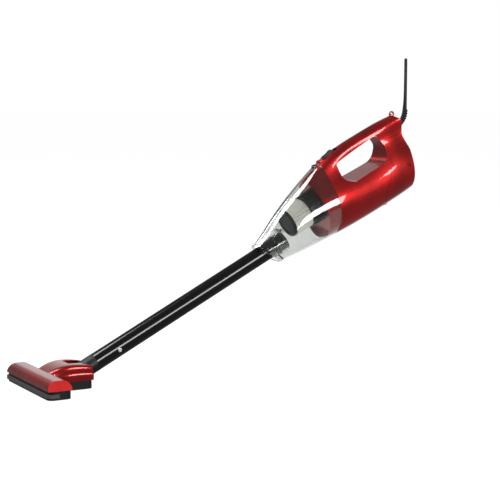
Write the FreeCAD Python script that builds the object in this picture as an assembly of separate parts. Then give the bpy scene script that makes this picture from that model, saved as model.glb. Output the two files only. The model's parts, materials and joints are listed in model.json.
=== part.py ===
"""Stick vacuum cleaner with a floor head, a push-in wand and a hand unit with a clear dust cup.

Millimetres. +X runs from the floor head towards the hand unit, +Z is up and the floor is z = 0.
The origin is on the floor, in the middle of the floor head's front bristle strip.

The wand and the hand unit are drawn in a frame of their own: x runs up the wand, z is square to
it and its origin is on the wand's axis at the cup's mouth. place() stands that frame on the floor.
"""
import FreeCAD, Part
import math
import os

V = FreeCAD.Vector

# ---- stance -------------------------------------------------------------------------------
PITCH = 27.0              # degrees between the wand and the floor
PIVOT_X = 88.0            # the floor head's pivot axis
PIVOT_Z = 20.5
MOUTH_DISTANCE = 460.0    # pivot axis to the cup's mouth, along the wand

# ---- fits ---------------------------------------------------------------------------------
GAP = 0.4                 # between pieces that move past each other
FIT = 0.06                # radial clearance of a pin, a shaft or a push fit

# ---- wand ---------------------------------------------------------------------------------
WAND_R = 17.5
WAND_WALL = 1.4
WAND_LOW = -412.0         # lower end, over the head's spigot
WAND_HIGH = 45.0          # upper end, inside the cup's inlet tube
LOCK_AT = -363.0          # snap button, from the mouth
LOCK_R = 4.0
LOCK_TRAVEL = 2.2

# ---- hand unit outline --------------------------------------------------------------------
CUP_WALL = 2.2
BODY_WALL = 2.6
UNIT_END = 420.0
# station along the unit: bottom, top, half width, height of the widest point, half width of
# the top ridge, and how much of the section is handle (0 an egg, 1 a body with a ridge on it)
STATIONS = (
    (-40.0, -24.5, 17.0, 21.5, -4.0, 0.0, 0.0),
    (0.0, -27.5, 29.0, 28.5, 0.0, 0.5, 0.0),
    (40.0, -33.0, 47.0, 37.0, 5.0, 2.0, 0.0),
    (85.0, -38.5, 66.0, 45.5, 10.0, 5.0, 0.02),
    (140.0, -43.5, 85.0, 51.0, 14.0, 9.0, 0.12),
    (190.0, -47.5, 100.0, 51.5, 12.0, 12.0, 0.40),
    (240.0, -50.0, 108.5, 48.5, 2.0, 14.5, 0.80),
    (310.0, -51.5, 110.0, 44.0, -6.0, 15.0, 1.0),
    (370.0, -50.5, 108.0, 40.0, -8.0, 15.5, 1.0),
    (UNIT_END, -49.0, 104.0, 36.5, -8.0, 15.5, 1.0),
)
LOW_SHARES = ((0.36, 0.96), (0.72, 0.76), (0.94, 0.42))
HIGH_SHARES = ((0.25, 0.945, 0.80), (0.50, 0.80, 0.34), (0.74, 0.56, 0.08), (0.92, 0.27, 0.0))

MOUTH_SLANT = 33.0        # degrees the mouth's plane leans, its top lip forward
MOUTH_POINT = V(3.0, 0, -3.3)
MOUTH_FLANGE = 1.6
SEAM = (V(192, 0, 112), V(180, 0, 25), V(149, 0, -60))       # cup to body, bulging rearward
COLLAR_EDGE = (V(140, 0, 112), V(147, 0, 20), V(124, 0, -60))
OPENING = (V(217, 0, 52), V(222, 0, 86), V(336, 0, 92), V(345, 0, 62), V(333, 0, 34), V(238, 0, 36))
OPENING_RADII = (16.0, 5.0, 10.0, 20.0, 22.0, 15.0)
REAR_OUTLINE = (V(130, 0, -90), V(130, 0, 140), V(374, 0, 140), V(410, 0, 88), V(396, 0, 60),
                V(395, 0, 30), V(364, 0, -52), V(300, 0, -90))
REAR_RADII = (5.0, 5.0, 20.0, 14.0, 10.0, 30.0, 16.0, 5.0)
REAR_CORNER_R = 26.0      # plan radius of the rear corners
REAR_HALF_WIDTH = 39.0
COVER_SEAM = (V(352, 0, 72), V(349, 0, 60), V(335, 0, 24), V(291, 0, -22), V(283, 0, -90))

# ---- inlet, flap and filter -----------------------------------------------------------------
INLET_R = 22.0            # outside of the inlet tube
INLET_END = 50.0
SEAL_FROM = 25.0
SEAL_LENGTH = 7.0
FLAP_THICK = 1.6
FLAP_R = 19.6
FLAP_PIN_R = 1.2
FLAP_PIN_Z = 24.5
FILTER_Z = 27.0
FILTER_CAP_FROM = 73.0
FILTER_CAP_R = 29.5
PLEAT_R = 31.0
PLEAT_DEPTH = 4.0
PLEATS = 40
PLEAT_TO = 121.0
HOLDER_R = 34.5
HOLDER_TO = 144.6
BULKHEAD = 4.0
BULKHEAD_FROM = 146.0
THROAT_R = 22.0

SEAL_R = 20.2
FLANGE_DEPTH = 3.0        # from the mouth's plane
WEB_FROM = 6.5
WEB_TO = 9.0
EAR_Y = 10.0
FLAP_PIN_X = 52.4
FILTER_CAP_TO = 79.0

# ---- motor ----------------------------------------------------------------------------------
MOTOR_Z = -8.0
SHAFT_R = 3.0
FAN_R = 31.0
FAN_FROM = 163.0
FAN_TO = 181.0
FAN_BLADES = 9
SHROUD_GAP = 1.2
SHROUD_WALL = 1.6
CAN_R = 29.0
CAN_WALL = 1.4
CAN_FROM = 186.0
CAN_TO = 262.0
CORE_R = 27.0
CORE_BORE = 17.0
CORE_FROM = 205.0
CORE_TO = 237.0
BEARING_R = 8.0
BEARING_LENGTH = 6.0
MOUNT_RING = 3.0
MOUNT_LENGTH = 8.0
WINDING_OUT = 7.0
COMMUTATOR_R = 9.0
COMMUTATOR_FROM = 247.0
COMMUTATOR_LENGTH = 8.0
BRUSH_WIDTH = 5.0
BRUSH_HEIGHT = 6.0
FAN_HUB_R = 8.0
FAN_BLADE_CURVE = 18.0
FAN_EYE_R = 14.0
GUARD_THICK = 1.8
GUARD_DEPTH = 6.0         # the guard's bars stand this far in front of the shroud
SHAFT_OUT = 5.6           # the shaft's end in front of the fan
NUT_OUT = 4.0
NUT_LENGTH = 5.5
NUT_R = 5.5
FOAM_FROM = 352.0
FOAM_THICK = 9.0
WIRE_R = 1.2
WIRE_Z = 100.0
DROP_X = 212.2            # where the motor's wires go down, between the ledge and the opening
DROP_FROM = 26.0
DROP_TO = 86.0
DROP_Y = 12.5
CLAMP_FROM = 384.0

# ---- controls -------------------------------------------------------------------------------
SLIDER_FROM = 211.0
SLIDER_LENGTH = 27.0
SLIDER_HALF = 7.0
SLIDER_TRAVEL = 8.0
SLIDER_TOP = 110.5
LATCH_FROM = 196.0
LATCH_LENGTH = 10.0
LATCH_HALF = 8.0
LATCH_TRAVEL = 3.0
LATCH_TOP = 104.0
CATCH_R = 5.0
CATCH_AT = V(183, 0, 98.5)

SEAT_TOP = 104.0          # the plate that the slider runs on
LEDGE_TOP = 79.0          # what the latch spring stands on
LATCH_LOW = 92.0
STEM_FROM = 222.0
STEM_LENGTH = 5.0
STEM_HALF = 2.5
SWITCH_FROM = 214.0
SWITCH_LENGTH = 24.0
SWITCH_HALF = 6.0
SWITCH_LOW = 92.6
SWITCH_TOP = 100.0
SPRING_R = 3.4
SPRING_PITCH = 2.2
LOOP_AT = V(401.5, 0, 106.0)
LOOP_R = 5.0
LOOP_THICK = 1.7
FOOT_X = 303.0
FOOT_R = 5.5
FOOT_LOW = -56.0

# ---- casings' details -----------------------------------------------------------------------
SCREWS = ((204.0, 64.0), (362.0, 86.0), (300.0, 12.0), (276.0, -42.0))
SCREW_R = 1.7
SCREW_HEAD_R = 3.4
SCREW_BOSS_R = 4.6
SCREW_HEAD_Y = 8.0
SCREW_DEPTH = 16.0
SEAM_GAP = 0.8
COLLAR_WALL = 2.0
COLLAR_GAP = 1.0          # to the cup, which narrows along its sides as it slides off
COLLAR_TUCK = 9.0         # how far the collar runs on inside the housings
COVER_SLOTS = (-30.0, -22.0, -14.0, -6.0, 2.0, 10.0)
COVER_SLOT_HALF = 15.0
COVER_SLOT_HEIGHT = 3.0
RECESS = 8.0
RECESS_X = 366.0
RECESS_Z = 0.0
RECESS_Y = 37.0

# ---- floor head -----------------------------------------------------------------------------
BAR_WIDTH = 220.0
BAR_FRONT = -6.0
BAR_DEPTH = 46.0
BAR_TOP = 36.0
BASE_LOW = 2.0            # the bristles stand this much lower, on the floor
BASE_TOP = 18.0
HEAD_WALL = 2.4
NECK_HALF = 43.0
NECK_END = 109.0
NECK_TOP = 45.5
NOTCH_FROM = 69.5
NOTCH_HALF = 18.0
SLOT_HALF = 96.0
SLOT_FROM = 5.0
SLOT_TO = 22.0
PIVOT_BARREL_R = 16.0
PIVOT_PIN_R = 4.0
SPIGOT_R = WAND_R - WAND_WALL - FIT
SPIGOT_WALL = 2.0
SPIGOT_TO = -340.0
PORT_R = 11.0
LOCK_FLANGE_Y = 11.4
LOCK_PROUD = 0.8
BRISTLE_HEIGHT = 6.0
BRISTLE_THICK = 2.4
BRISTLE_HALF = 97.0
BRISTLES = (-BRISTLE_THICK / 2, 26.0)
BUMPER_OUT = 2.5
BUMPER_LOW = 6.0
BUMPER_HEIGHT = 7.0
PIN_FROM = 8.0
PIN_TO = 30.0
HEAD_SCREWS = ((14.0, -103.0), (14.0, 103.0), (60.0, -32.0), (60.0, 32.0))
HEAD_SCREW_R = 1.5
HEAD_SCREW_HEAD_R = 3.0
HEAD_SCREW_HEAD = 1.8
HEAD_SCREW_TO = 28.0
HEAD_POST_R = 4.0

# ---- lead -----------------------------------------------------------------------------------
LEAD_R = 3.25
BOOT_AT = V(414, 0, 80.5)
BOOT_FROM_DEG = 14.0      # the root's lean above the unit's axis; the tip stands upright
BOOT_BEND = 36.2
BOOT_ROOT = 16.0
BOOT_R = 6.0
BOOT_TIP_R = 4.2
BOOT_RINGS = 6
# from the boot's tip: up, over and down behind the unit to the hank, on the floor's frame
LEAD_ROUTE = [V(842.5, 0, 516.3), V(842.5, 0, 550.3), V(845.1, 3.6, 592.1), V(857.3, 20.6, 618.9),
              V(877.0, 48.1, 622.4), V(891.7, 68.6, 599.7), V(897.5, 77.0, 557.0), V(898.0, 80.0, 517.0),
              V(891.0, 84.0, 482.0), V(882.0, 88.0, 450.0), V(870.0, 92.5, 423.0), V(850.0, 96.5, 405.0),
              V(831.0, 98.5, 392.5)]
HANK_AT = V(338, 76, -33)
HANK_RUN = 100.0
HANK_R = 30.5
HANK_THICK = 53.0
# on the hank: along the unit, square to it, and across
TAIL_ROUTE = ((44.0, 20.5, 24.0), (30.0, 18.5, 28.0), (12.0, 14.5, 36.5), (-2.0, 12.0, 40.0))
PLUG_AT = (-2.0, 12.0, 40.0)
PLUG_LENGTH = 42.0
PLUG_HALF_THICK = 12.0
PLUG_HALF_WIDTH = 15.0
PLUG_PIN_R = 2.4
PIN_SPACING = 19.0
PIN_LENGTH = 18.0
TIES_AT = (-34.0, 6.0)
TIE_THICK = 1.2
TIE_WIDTH = 12.0
STRING_R = 1.1
STRING_ROUTE = [V(393, 26, 60), V(403, 17, 101), V(402, 3.5, 106)]


# ---- small makers ---------------------------------------------------------------------------
def cylinder(x0, x1, radius, y=0.0, z=0.0):
    """A rod along x."""
    return Part.makeCylinder(radius, x1 - x0, V(x0, y, z), V(1, 0, 0))


def ring(x0, x1, outer, inner, z=0.0):
    """A tube along x."""
    return cylinder(x0, x1, outer, 0, z).cut(cylinder(x0 - 1, x1 + 1, inner, 0, z))


def cross_rod(x, z, radius, y0, y1):
    """A rod along y."""
    return Part.makeCylinder(radius, y1 - y0, V(x, y0, z), V(0, 1, 0))


def box(x0, x1, y0, y1, z0, z1):
    return Part.makeBox(x1 - x0, y1 - y0, z1 - z0, V(x0, y0, z0))


def rounded_outline(points, radii):
    """A closed outline of straight runs whose corners are arcs of the given radii."""
    edges = []
    ends = []
    for index, corner in enumerate(points):
        before = (points[index - 1] - corner).normalize()
        after = (points[(index + 1) % len(points)] - corner).normalize()
        half = before.getAngle(after) / 2
        reach = radii[index] / math.tan(half)
        start = corner + before * reach
        end = corner + after * reach
        middle = corner + (before + after).normalize() * (radii[index] / math.sin(half) - radii[index])
        edges.append(Part.Arc(start, middle, end).toShape())
        ends.append((start, end))
    for index in range(len(points)):
        edges.append(Part.LineSegment(ends[index - 1][1], ends[index][0]).toShape())
    return Part.Wire(Part.__sortEdges__(edges))


def across(wire, half_width):
    """A side outline made solid, the same distance to each side of the middle."""
    moved = wire.copy()
    moved.translate(V(0, -half_width, 0))
    return Part.Face(moved).extrude(V(0, 2 * half_width, 0))


def ahead_of(curve, shift, far=-200.0):
    """Everything in front of a seam, which is an arc through three points in side view."""
    low, middle, high = sorted((p + V(shift, 0, 0) for p in curve), key=lambda p: p.z)
    arc = Part.Arc(low, middle, high).toShape()
    sides = Part.makePolygon([high, V(far, 0, high.z), V(far, 0, low.z), low])
    return across(Part.Wire([arc] + sides.Edges), 120)


def mouth_side(shift):
    """Everything on the outer side of the mouth's slanted plane, moved inward by shift."""
    block = Part.makeBox(200, 400, 400, V(-200, -200, -200))
    block.rotate(V(0, 0, 0), V(0, 1, 0), -MOUTH_SLANT)
    inward = V(math.cos(math.radians(MOUTH_SLANT)), 0, math.sin(math.radians(MOUTH_SLANT)))
    block.translate(MOUTH_POINT + inward * shift)
    return block


def section(station, inset):
    """One closed cross-section of the hand unit, inset by a wall."""
    x, bottom, top, half, middle, ridge, handle = station
    bottom, top, half, ridge = bottom + inset, top - inset, half - inset, max(ridge - inset, 0)
    side = [V(x, half * width, middle - (middle - bottom) * share)
            for share, width in reversed(LOW_SHARES)]
    side.append(V(x, half, middle))
    for share, egg, body in HIGH_SHARES:
        width = ridge + (half - ridge) * ((1 - handle) * egg + handle * body)
        side.append(V(x, width, middle + (top - middle) * share))
    other = [V(p.x, -p.y, p.z) for p in reversed(side)]
    curve = Part.BSplineCurve()
    curve.interpolate(Points=[V(x, 0, bottom)] + side + [V(x, 0, top)] + other, PeriodicFlag=True)
    return Part.Wire([curve.toShape()])


def envelope(inset):
    """The hand unit's smooth outer form, from in front of the mouth to its rear end."""
    return Part.makeLoft([section(s, inset) for s in STATIONS], True, False)


def rear_trim(inset):
    """The side outline and the rounded rear corners that the outer form is trimmed to."""
    outline = rounded_outline(REAR_OUTLINE, REAR_RADII)
    if inset:
        outline = outline.makeOffset2D(-inset)
    solid = across(outline, 100)
    end = max(p.x for p in REAR_OUTLINE) + 2
    plan = Part.makeBox(end, 2 * REAR_HALF_WIDTH + 40, 400, V(0, -REAR_HALF_WIDTH - 20, -200))
    corner = REAR_CORNER_R + 20
    plan = plan.makeFillet(corner, [e for e in plan.Edges
                                    if abs(e.BoundBox.XMin - end) < 0.1 and e.BoundBox.ZLength > 300])
    plan.translate(V(-inset, 0, 0))
    return solid.common(plan)


def opening_block(grow):
    """The finger opening, its outline grown by a wall."""
    outline = rounded_outline(OPENING, OPENING_RADII)
    if grow:
        outline = outline.makeOffset2D(grow)
    return across(outline, 70)


def place(shape):
    """From the wand's frame to the floor's."""
    lean = math.radians(PITCH)
    foot = V(PIVOT_X + MOUTH_DISTANCE * math.cos(lean), 0, PIVOT_Z + MOUTH_DISTANCE * math.sin(lean))
    placed = shape.copy()
    placed.rotate(V(0, 0, 0), V(0, 1, 0), -PITCH)
    placed.translate(foot)
    return placed


def joined(shapes):
    """Shapes that touch or overlap, as one solid."""
    shapes = list(shapes)
    return shapes[0].multiFuse(shapes[1:]).removeSplitter() if len(shapes) > 1 else shapes[0]


# ---- hand unit: casings ---------------------------------------------------------------------
OUTER = envelope(0)
CUP_INNER = envelope(CUP_WALL)
BODY_INNER = envelope(BODY_WALL)


def red_form():
    """The outside of everything behind the seam, with the opening through it."""
    form = OUTER.common(rear_trim(0)).cut(ahead_of(SEAM, GAP))
    return form.cut(opening_block(0))


def body_space():
    """The hollow of the casings: inside their walls and clear of the opening's own wall."""
    return BODY_INNER.common(rear_trim(BODY_WALL)).cut(opening_block(BODY_WALL))


def behind_seam(shift):
    """Everything behind the rear cover's seam in side view."""
    points = [p + V(shift, 0, 0) for p in COVER_SEAM]
    top = V(points[0].x, 0, points[0].z - shift)
    notch = V(430, 0, 60 - shift)
    outline = Part.makePolygon([top] + points[1:] + [V(430, 0, points[-1].z), notch, top])
    return across(outline, 120)


def half(shape, side):
    """The left (-1) or right (1) half of a shape."""
    y0, y1 = sorted((0.0, side * 150.0))
    return shape.common(box(-100, 500, y0, y1, -150, 200))


def controls_seats():
    """The plate that the slider runs on and the ledge that the latch spring stands on."""
    plate = box(SLIDER_FROM - 2, SLIDER_FROM + SLIDER_LENGTH + SLIDER_TRAVEL + 4, -9.5, 9.5,
                SEAT_TOP - BODY_WALL, SEAT_TOP)
    ledge = box(LATCH_FROM - 1, LATCH_FROM + LATCH_LENGTH + 4, -60, 60, LEDGE_TOP - BODY_WALL, LEDGE_TOP)
    return plate.fuse(ledge.common(BODY_INNER))


def controls_cuts():
    """The slider's channel and stem slot, and the latch button's pocket."""
    channel = box(SLIDER_FROM - GAP, SLIDER_FROM + SLIDER_LENGTH + SLIDER_TRAVEL + GAP,
                  -SLIDER_HALF - GAP, SLIDER_HALF + GAP, SEAT_TOP, 140)
    stem = box(STEM_FROM - GAP, STEM_FROM + STEM_LENGTH + SLIDER_TRAVEL + GAP,
               -STEM_HALF - GAP, STEM_HALF + GAP, SEAT_TOP - 10, 140)
    pocket = box(LATCH_FROM - GAP, LATCH_FROM + LATCH_LENGTH + GAP,
                 -LATCH_HALF - GAP, LATCH_HALF + GAP, LATCH_LOW - LATCH_TRAVEL - 1, 140)
    return channel.fuse([stem, pocket])


def casings():
    """The two housing halves and the rear cover."""
    shell = red_form().cut(body_space())
    posts = [cross_rod(x, z, SCREW_BOSS_R, -60, 60).common(body_space()) for x, z in SCREWS]
    shell = shell.fuse(posts + [controls_seats()]).cut(controls_cuts())
    for x, z in SCREWS:
        shell = shell.cut(cross_rod(x, z, SCREW_R + FIT, -SCREW_DEPTH, 60))
        shell = shell.cut(cross_rod(x, z, SCREW_HEAD_R + GAP, SCREW_HEAD_Y, 60))
    shell = shell.cut(boot_form(FIT))
    cover = shell.common(behind_seam(0))
    for z in COVER_SLOTS:
        cover = cover.cut(box(330, 440, -COVER_SLOT_HALF, COVER_SLOT_HALF, z, z + COVER_SLOT_HEIGHT))
    cover = cover.cut(box(RECESS_X, RECESS_X + RECESS, -60, -RECESS_Y, RECESS_Z, RECESS_Z + RECESS))
    halves = shell.cut(behind_seam(-SEAM_GAP))
    return half(halves, -1), half(halves, 1), cover


def front_collar():
    """The red ring that the cup slides over, with the bulkhead that holds the filter."""
    inset = CUP_WALL + COLLAR_GAP
    form = envelope(inset).common(ahead_of(SEAM, COLLAR_TUCK)).cut(ahead_of(COLLAR_EDGE, 0))
    space = envelope(inset + COLLAR_WALL)
    plate = box(BULKHEAD_FROM, BULKHEAD_FROM + BULKHEAD, -80, 80, -80, 150)
    throat = cylinder(BULKHEAD_FROM - 5, BULKHEAD_FROM + BULKHEAD + 5, THROAT_R, 0, FILTER_Z)
    latch = box(LATCH_FROM - 1 - GAP, UNIT_END, -80, 80, LEDGE_TOP - BODY_WALL - GAP, 140)
    fan = cylinder(FAN_FROM - 2 - GAP, UNIT_END, FAN_R + SHROUD_GAP + SHROUD_WALL + GAP, 0, MOTOR_Z)
    return form.cut(space.cut(plate)).cut(throat).cut(latch).cut(fan)


def filter_seal():
    return ring(HOLDER_TO + GAP, BULKHEAD_FROM, THROAT_R + 7, THROAT_R + 1, FILTER_Z)


# ---- hand unit: motor -----------------------------------------------------------------------
def motor_can():
    tube = ring(CAN_FROM, CAN_TO, CAN_R, CAN_R - CAN_WALL, MOTOR_Z)
    ends = [ring(x, x + CAN_WALL, CAN_R, BEARING_R + FIT, MOTOR_Z) for x in (CAN_FROM, CAN_TO - CAN_WALL)]
    can = joined([tube] + ends)
    for turn in range(6):
        vent = cylinder(CAN_FROM - 1, CAN_TO + 1, 4.0, 0, MOTOR_Z + 18)
        vent.rotate(V(0, 0, MOTOR_Z), V(1, 0, 0), 60 * turn)
        can = can.cut(vent)
    return can


def bearing(x0):
    return ring(x0, x0 + BEARING_LENGTH, BEARING_R, SHAFT_R + FIT, MOTOR_Z)


def rubber_mount(x0):
    return ring(x0, x0 + MOUNT_LENGTH, CAN_R + MOUNT_RING, CAN_R + FIT, MOTOR_Z)


def stator_core():
    core = ring(CORE_FROM, CORE_TO, CORE_R, CORE_BORE, MOTOR_Z)
    slots = [box(CORE_FROM - 1, CORE_TO + 1, -6, 6, z0, z0 + 6)
             for z0 in (MOTOR_Z - CORE_BORE - 5, MOTOR_Z + CORE_BORE - 1)]
    return core.cut(slots[0].fuse(slots[1]))


def field_windings():
    """Two coils whose ends show at each end of the core."""
    coils = []
    for x0 in (CORE_FROM - WINDING_OUT - FIT, CORE_TO + FIT):
        band = ring(x0, x0 + WINDING_OUT, CORE_R - 2, CORE_BORE + 2, MOTOR_Z)
        gap = box(x0 - 1, x0 + WINDING_OUT + 1, -40, 40, MOTOR_Z - 4, MOTOR_Z + 4)
        coils.append(band.cut(gap))
    return Part.makeCompound([solid for coil in coils for solid in coil.Solids])


def brush_parts(y0, y1, width, height):
    """A pair of blocks that stand on each side of the commutator."""
    middle = COMMUTATOR_FROM + COMMUTATOR_LENGTH / 2
    blocks = []
    for side in (-1, 1):
        low, high = sorted((side * y0, side * y1))
        blocks.append(box(middle - width / 2, middle + width / 2, low, high,
                          MOTOR_Z - height / 2, MOTOR_Z + height / 2))
    return blocks


def brush_holders():
    holes = brush_parts(0, 40, BRUSH_WIDTH + 2 * FIT, BRUSH_HEIGHT + 2 * FIT)
    blocks = brush_parts(COMMUTATOR_R + 3, CAN_R - CAN_WALL - 2, BRUSH_WIDTH + 3, BRUSH_HEIGHT + 3)
    return Part.makeCompound([block.cut(hole) for block, hole in zip(blocks, holes)])


def carbon_brushes():
    return Part.makeCompound(brush_parts(COMMUTATOR_R + GAP, COMMUTATOR_R + 11, BRUSH_WIDTH, BRUSH_HEIGHT))


def motor_shaft():
    return cylinder(FAN_FROM - SHAFT_OUT, CAN_TO + 4, SHAFT_R, 0, MOTOR_Z)


def armature():
    core = ring(CORE_FROM - 2, CORE_TO + 2, CORE_BORE - 0.6, SHAFT_R + FIT, MOTOR_Z)
    ends = [ring(x0, x0 + 7, CORE_BORE - 4, SHAFT_R + FIT, MOTOR_Z)
            for x0 in (CORE_FROM - 9, CORE_TO + 2)]
    body = joined([core] + ends)
    for turn in range(12):
        slot = box(CORE_FROM - 3, CORE_TO + 3, -0.8, 0.8, MOTOR_Z + CORE_BORE - 3.5, MOTOR_Z + CORE_BORE)
        slot.rotate(V(0, 0, MOTOR_Z), V(1, 0, 0), 30 * turn)
        body = body.cut(slot)
    return body


def commutator():
    return ring(COMMUTATOR_FROM, COMMUTATOR_FROM + COMMUTATOR_LENGTH, COMMUTATOR_R, SHAFT_R + FIT, MOTOR_Z)


def impeller():
    """A back plate, a hub and blades that curve away from the way it turns."""
    plate = ring(FAN_TO - 1.6, FAN_TO, FAN_R, SHAFT_R + FIT, MOTOR_Z)
    hub = ring(FAN_FROM + 2, FAN_TO, FAN_HUB_R, SHAFT_R + FIT, MOTOR_Z)
    zone = ring(FAN_FROM, FAN_TO - 1, FAN_R, FAN_HUB_R - 0.5, MOTOR_Z)
    curve = cylinder(FAN_FROM, FAN_TO - 1, FAN_BLADE_CURVE + 1.2, 0, MOTOR_Z + FAN_BLADE_CURVE)
    curve = curve.cut(cylinder(FAN_FROM - 1, FAN_TO, FAN_BLADE_CURVE, 0, MOTOR_Z + FAN_BLADE_CURVE))
    blade = curve.common(zone).common(box(FAN_FROM - 1, FAN_TO + 1, 0, 60, -80, 80))
    parts = [plate, hub]
    for turn in range(FAN_BLADES):
        copy = blade.copy()
        copy.rotate(V(0, 0, MOTOR_Z), V(1, 0, 0), 360.0 * turn / FAN_BLADES)
        parts.append(copy)
    return joined(parts)


def impeller_nut():
    hexagon = Part.makePolygon([V(FAN_FROM - NUT_OUT, NUT_R * math.cos(math.radians(60 * k)),
                                  MOTOR_Z + NUT_R * math.sin(math.radians(60 * k))) for k in range(7)])
    nut = Part.Face(hexagon).extrude(V(NUT_LENGTH, 0, 0))
    return nut.cut(cylinder(FAN_FROM - 10, FAN_FROM + 10, SHAFT_R + FIT, 0, MOTOR_Z))


def fan_shroud():
    inside = FAN_R + SHROUD_GAP
    tube = ring(FAN_FROM - 2, CAN_FROM - 0.5, inside + SHROUD_WALL, inside, MOTOR_Z)
    front = ring(FAN_FROM - 2, FAN_FROM - 0.8, inside + SHROUD_WALL, FAN_EYE_R, MOTOR_Z)
    return joined([tube, front])


def intake_guard():
    """A ring with bars over the fan's eye."""
    x0 = FAN_FROM - 2 - GUARD_DEPTH
    guard = [ring(x0, x0 + GUARD_DEPTH, FAN_EYE_R + 3, FAN_EYE_R, MOTOR_Z)]
    for index in range(-2, 3):
        z = MOTOR_Z + index * FAN_EYE_R / 2.6
        bar = box(x0, x0 + GUARD_THICK, -FAN_EYE_R - 1, FAN_EYE_R + 1, z - 0.7, z + 0.7)
        guard.append(bar.common(cylinder(x0 - 1, x0 + 5, FAN_EYE_R + 1, 0, MOTOR_Z)))
    return joined(guard)


def exhaust_foam():
    inset = BODY_WALL + GAP
    form = envelope(inset).common(rear_trim(inset + 2))
    return form.common(box(FOAM_FROM, FOAM_FROM + FOAM_THICK, -60, 60, -34, 26))


def wires():
    """The two leads along the handle and the two that go down to the motor."""
    runs = []
    for side in (-1, 1):
        runs.append(cylinder(SWITCH_FROM + SWITCH_LENGTH, CLAMP_FROM, WIRE_R, side * 3, WIRE_Z))
        foot = V(DROP_X, side * DROP_Y, DROP_FROM)
        runs.append(Part.makeCylinder(WIRE_R, DROP_TO - DROP_FROM, foot, V(0, 0, 1)))
    return Part.makeCompound(runs)


def cord_clamp():
    block = box(CLAMP_FROM, CLAMP_FROM + 9, -8, 8, WIRE_Z - 16, WIRE_Z + 3)
    return block.common(envelope(BODY_WALL + GAP)).cut(boot_form(FIT))


def switch_body():
    return box(SWITCH_FROM, SWITCH_FROM + SWITCH_LENGTH, -SWITCH_HALF, SWITCH_HALF, SWITCH_LOW, SWITCH_TOP)


def housing_screws():
    screws = []
    for x, z in SCREWS:
        shank = cross_rod(x, z, SCREW_R, -SCREW_DEPTH + 1, SCREW_HEAD_Y + 0.5)
        head = cross_rod(x, z, SCREW_HEAD_R, SCREW_HEAD_Y + FIT, SCREW_HEAD_Y + 3)
        slot = box(x - 2, x + 2, SCREW_HEAD_Y + 1.8, SCREW_HEAD_Y + 4, z - 0.5, z + 0.5)
        screws.append(joined([shank, head]).cut(slot))
    return Part.makeCompound(screws)


# ---- hand unit: controls --------------------------------------------------------------------
def power_slider():
    """A flat shoe with a ramp in front and a domed thumb rest, and a stem into the switch."""
    low = SEAT_TOP + GAP
    outline = Part.makePolygon([
        V(SLIDER_FROM, 0, low), V(SLIDER_FROM + SLIDER_LENGTH, 0, low),
        V(SLIDER_FROM + SLIDER_LENGTH, 0, SLIDER_TOP - 2.5),
        V(SLIDER_FROM + SLIDER_LENGTH - 3, 0, SLIDER_TOP),
        V(SLIDER_FROM + SLIDER_LENGTH - 13, 0, SLIDER_TOP), V(SLIDER_FROM + 10, 0, SLIDER_TOP - 3.2),
        V(SLIDER_FROM, 0, low + 1.6), V(SLIDER_FROM, 0, low)])
    shoe = across(outline, SLIDER_HALF)
    stem = box(STEM_FROM, STEM_FROM + STEM_LENGTH, -STEM_HALF, STEM_HALF, SWITCH_TOP + GAP, low + 1)
    return joined([shoe, stem])


def latch_button():
    """A pushed block with grip ridges."""
    block = box(LATCH_FROM, LATCH_FROM + LATCH_LENGTH, -LATCH_HALF, LATCH_HALF, LATCH_LOW, LATCH_TOP)
    block = block.makeFillet(1.0, [e for e in block.Edges if e.BoundBox.ZMin > LATCH_TOP - 0.1])
    for index in range(3):
        groove = cross_rod(LATCH_FROM + 2.5 + 2.5 * index, LATCH_TOP + 0.3, 0.8, -20, 20)
        block = block.cut(groove)
    return block


def latch_spring():
    """The coil, at its pressed length."""
    length = LATCH_LOW - LATCH_TRAVEL - GAP - LEDGE_TOP
    turn = Part.makeHelix(SPRING_PITCH, length - 1.4, SPRING_R)
    section_at = Part.Wire([Part.makeCircle(0.55, V(SPRING_R, 0, 0), V(0, 1, 0))])
    coil = Part.Wire(turn).makePipeShell([section_at], True, True)
    coil.translate(V(LATCH_FROM + LATCH_LENGTH / 2, 0, LEDGE_TOP + 0.7))
    return coil


def hanging_loop():
    """The eyelet at the top of the rear end."""
    loop = Part.makeTorus(LOOP_R, LOOP_THICK, LOOP_AT, V(0, 1, 0))
    return loop.cut(red_form())


def rest_foot():
    """The round button under the body that it is laid down on."""
    stud = Part.makeCylinder(FOOT_R, 12, V(FOOT_X, 0, FOOT_LOW), V(0, 0, 1))
    stud = stud.makeFillet(2.0, [e for e in stud.Edges if e.BoundBox.ZMax < FOOT_LOW + 0.1])
    return stud.cut(red_form()).cut(body_space())


# ---- dust cup and inlet ---------------------------------------------------------------------
def cup_shell():
    """The clear cup: an open mouth with a flange, a slanted web behind it and a catch on top."""
    form = OUTER.common(ahead_of(SEAM, 0)).cut(mouth_side(0))
    flange = envelope(-MOUTH_FLANGE).common(mouth_side(FLANGE_DEPTH)).cut(mouth_side(0))
    catch = Part.makeSphere(CATCH_R, CATCH_AT)
    form = form.fuse([flange, catch])
    form = form.cut(CUP_INNER.cut(mouth_side(WEB_TO)))
    form = form.cut(CUP_INNER.common(mouth_side(WEB_FROM)))
    return form.cut(cylinder(-60, INLET_END, INLET_R + FIT))


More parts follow.
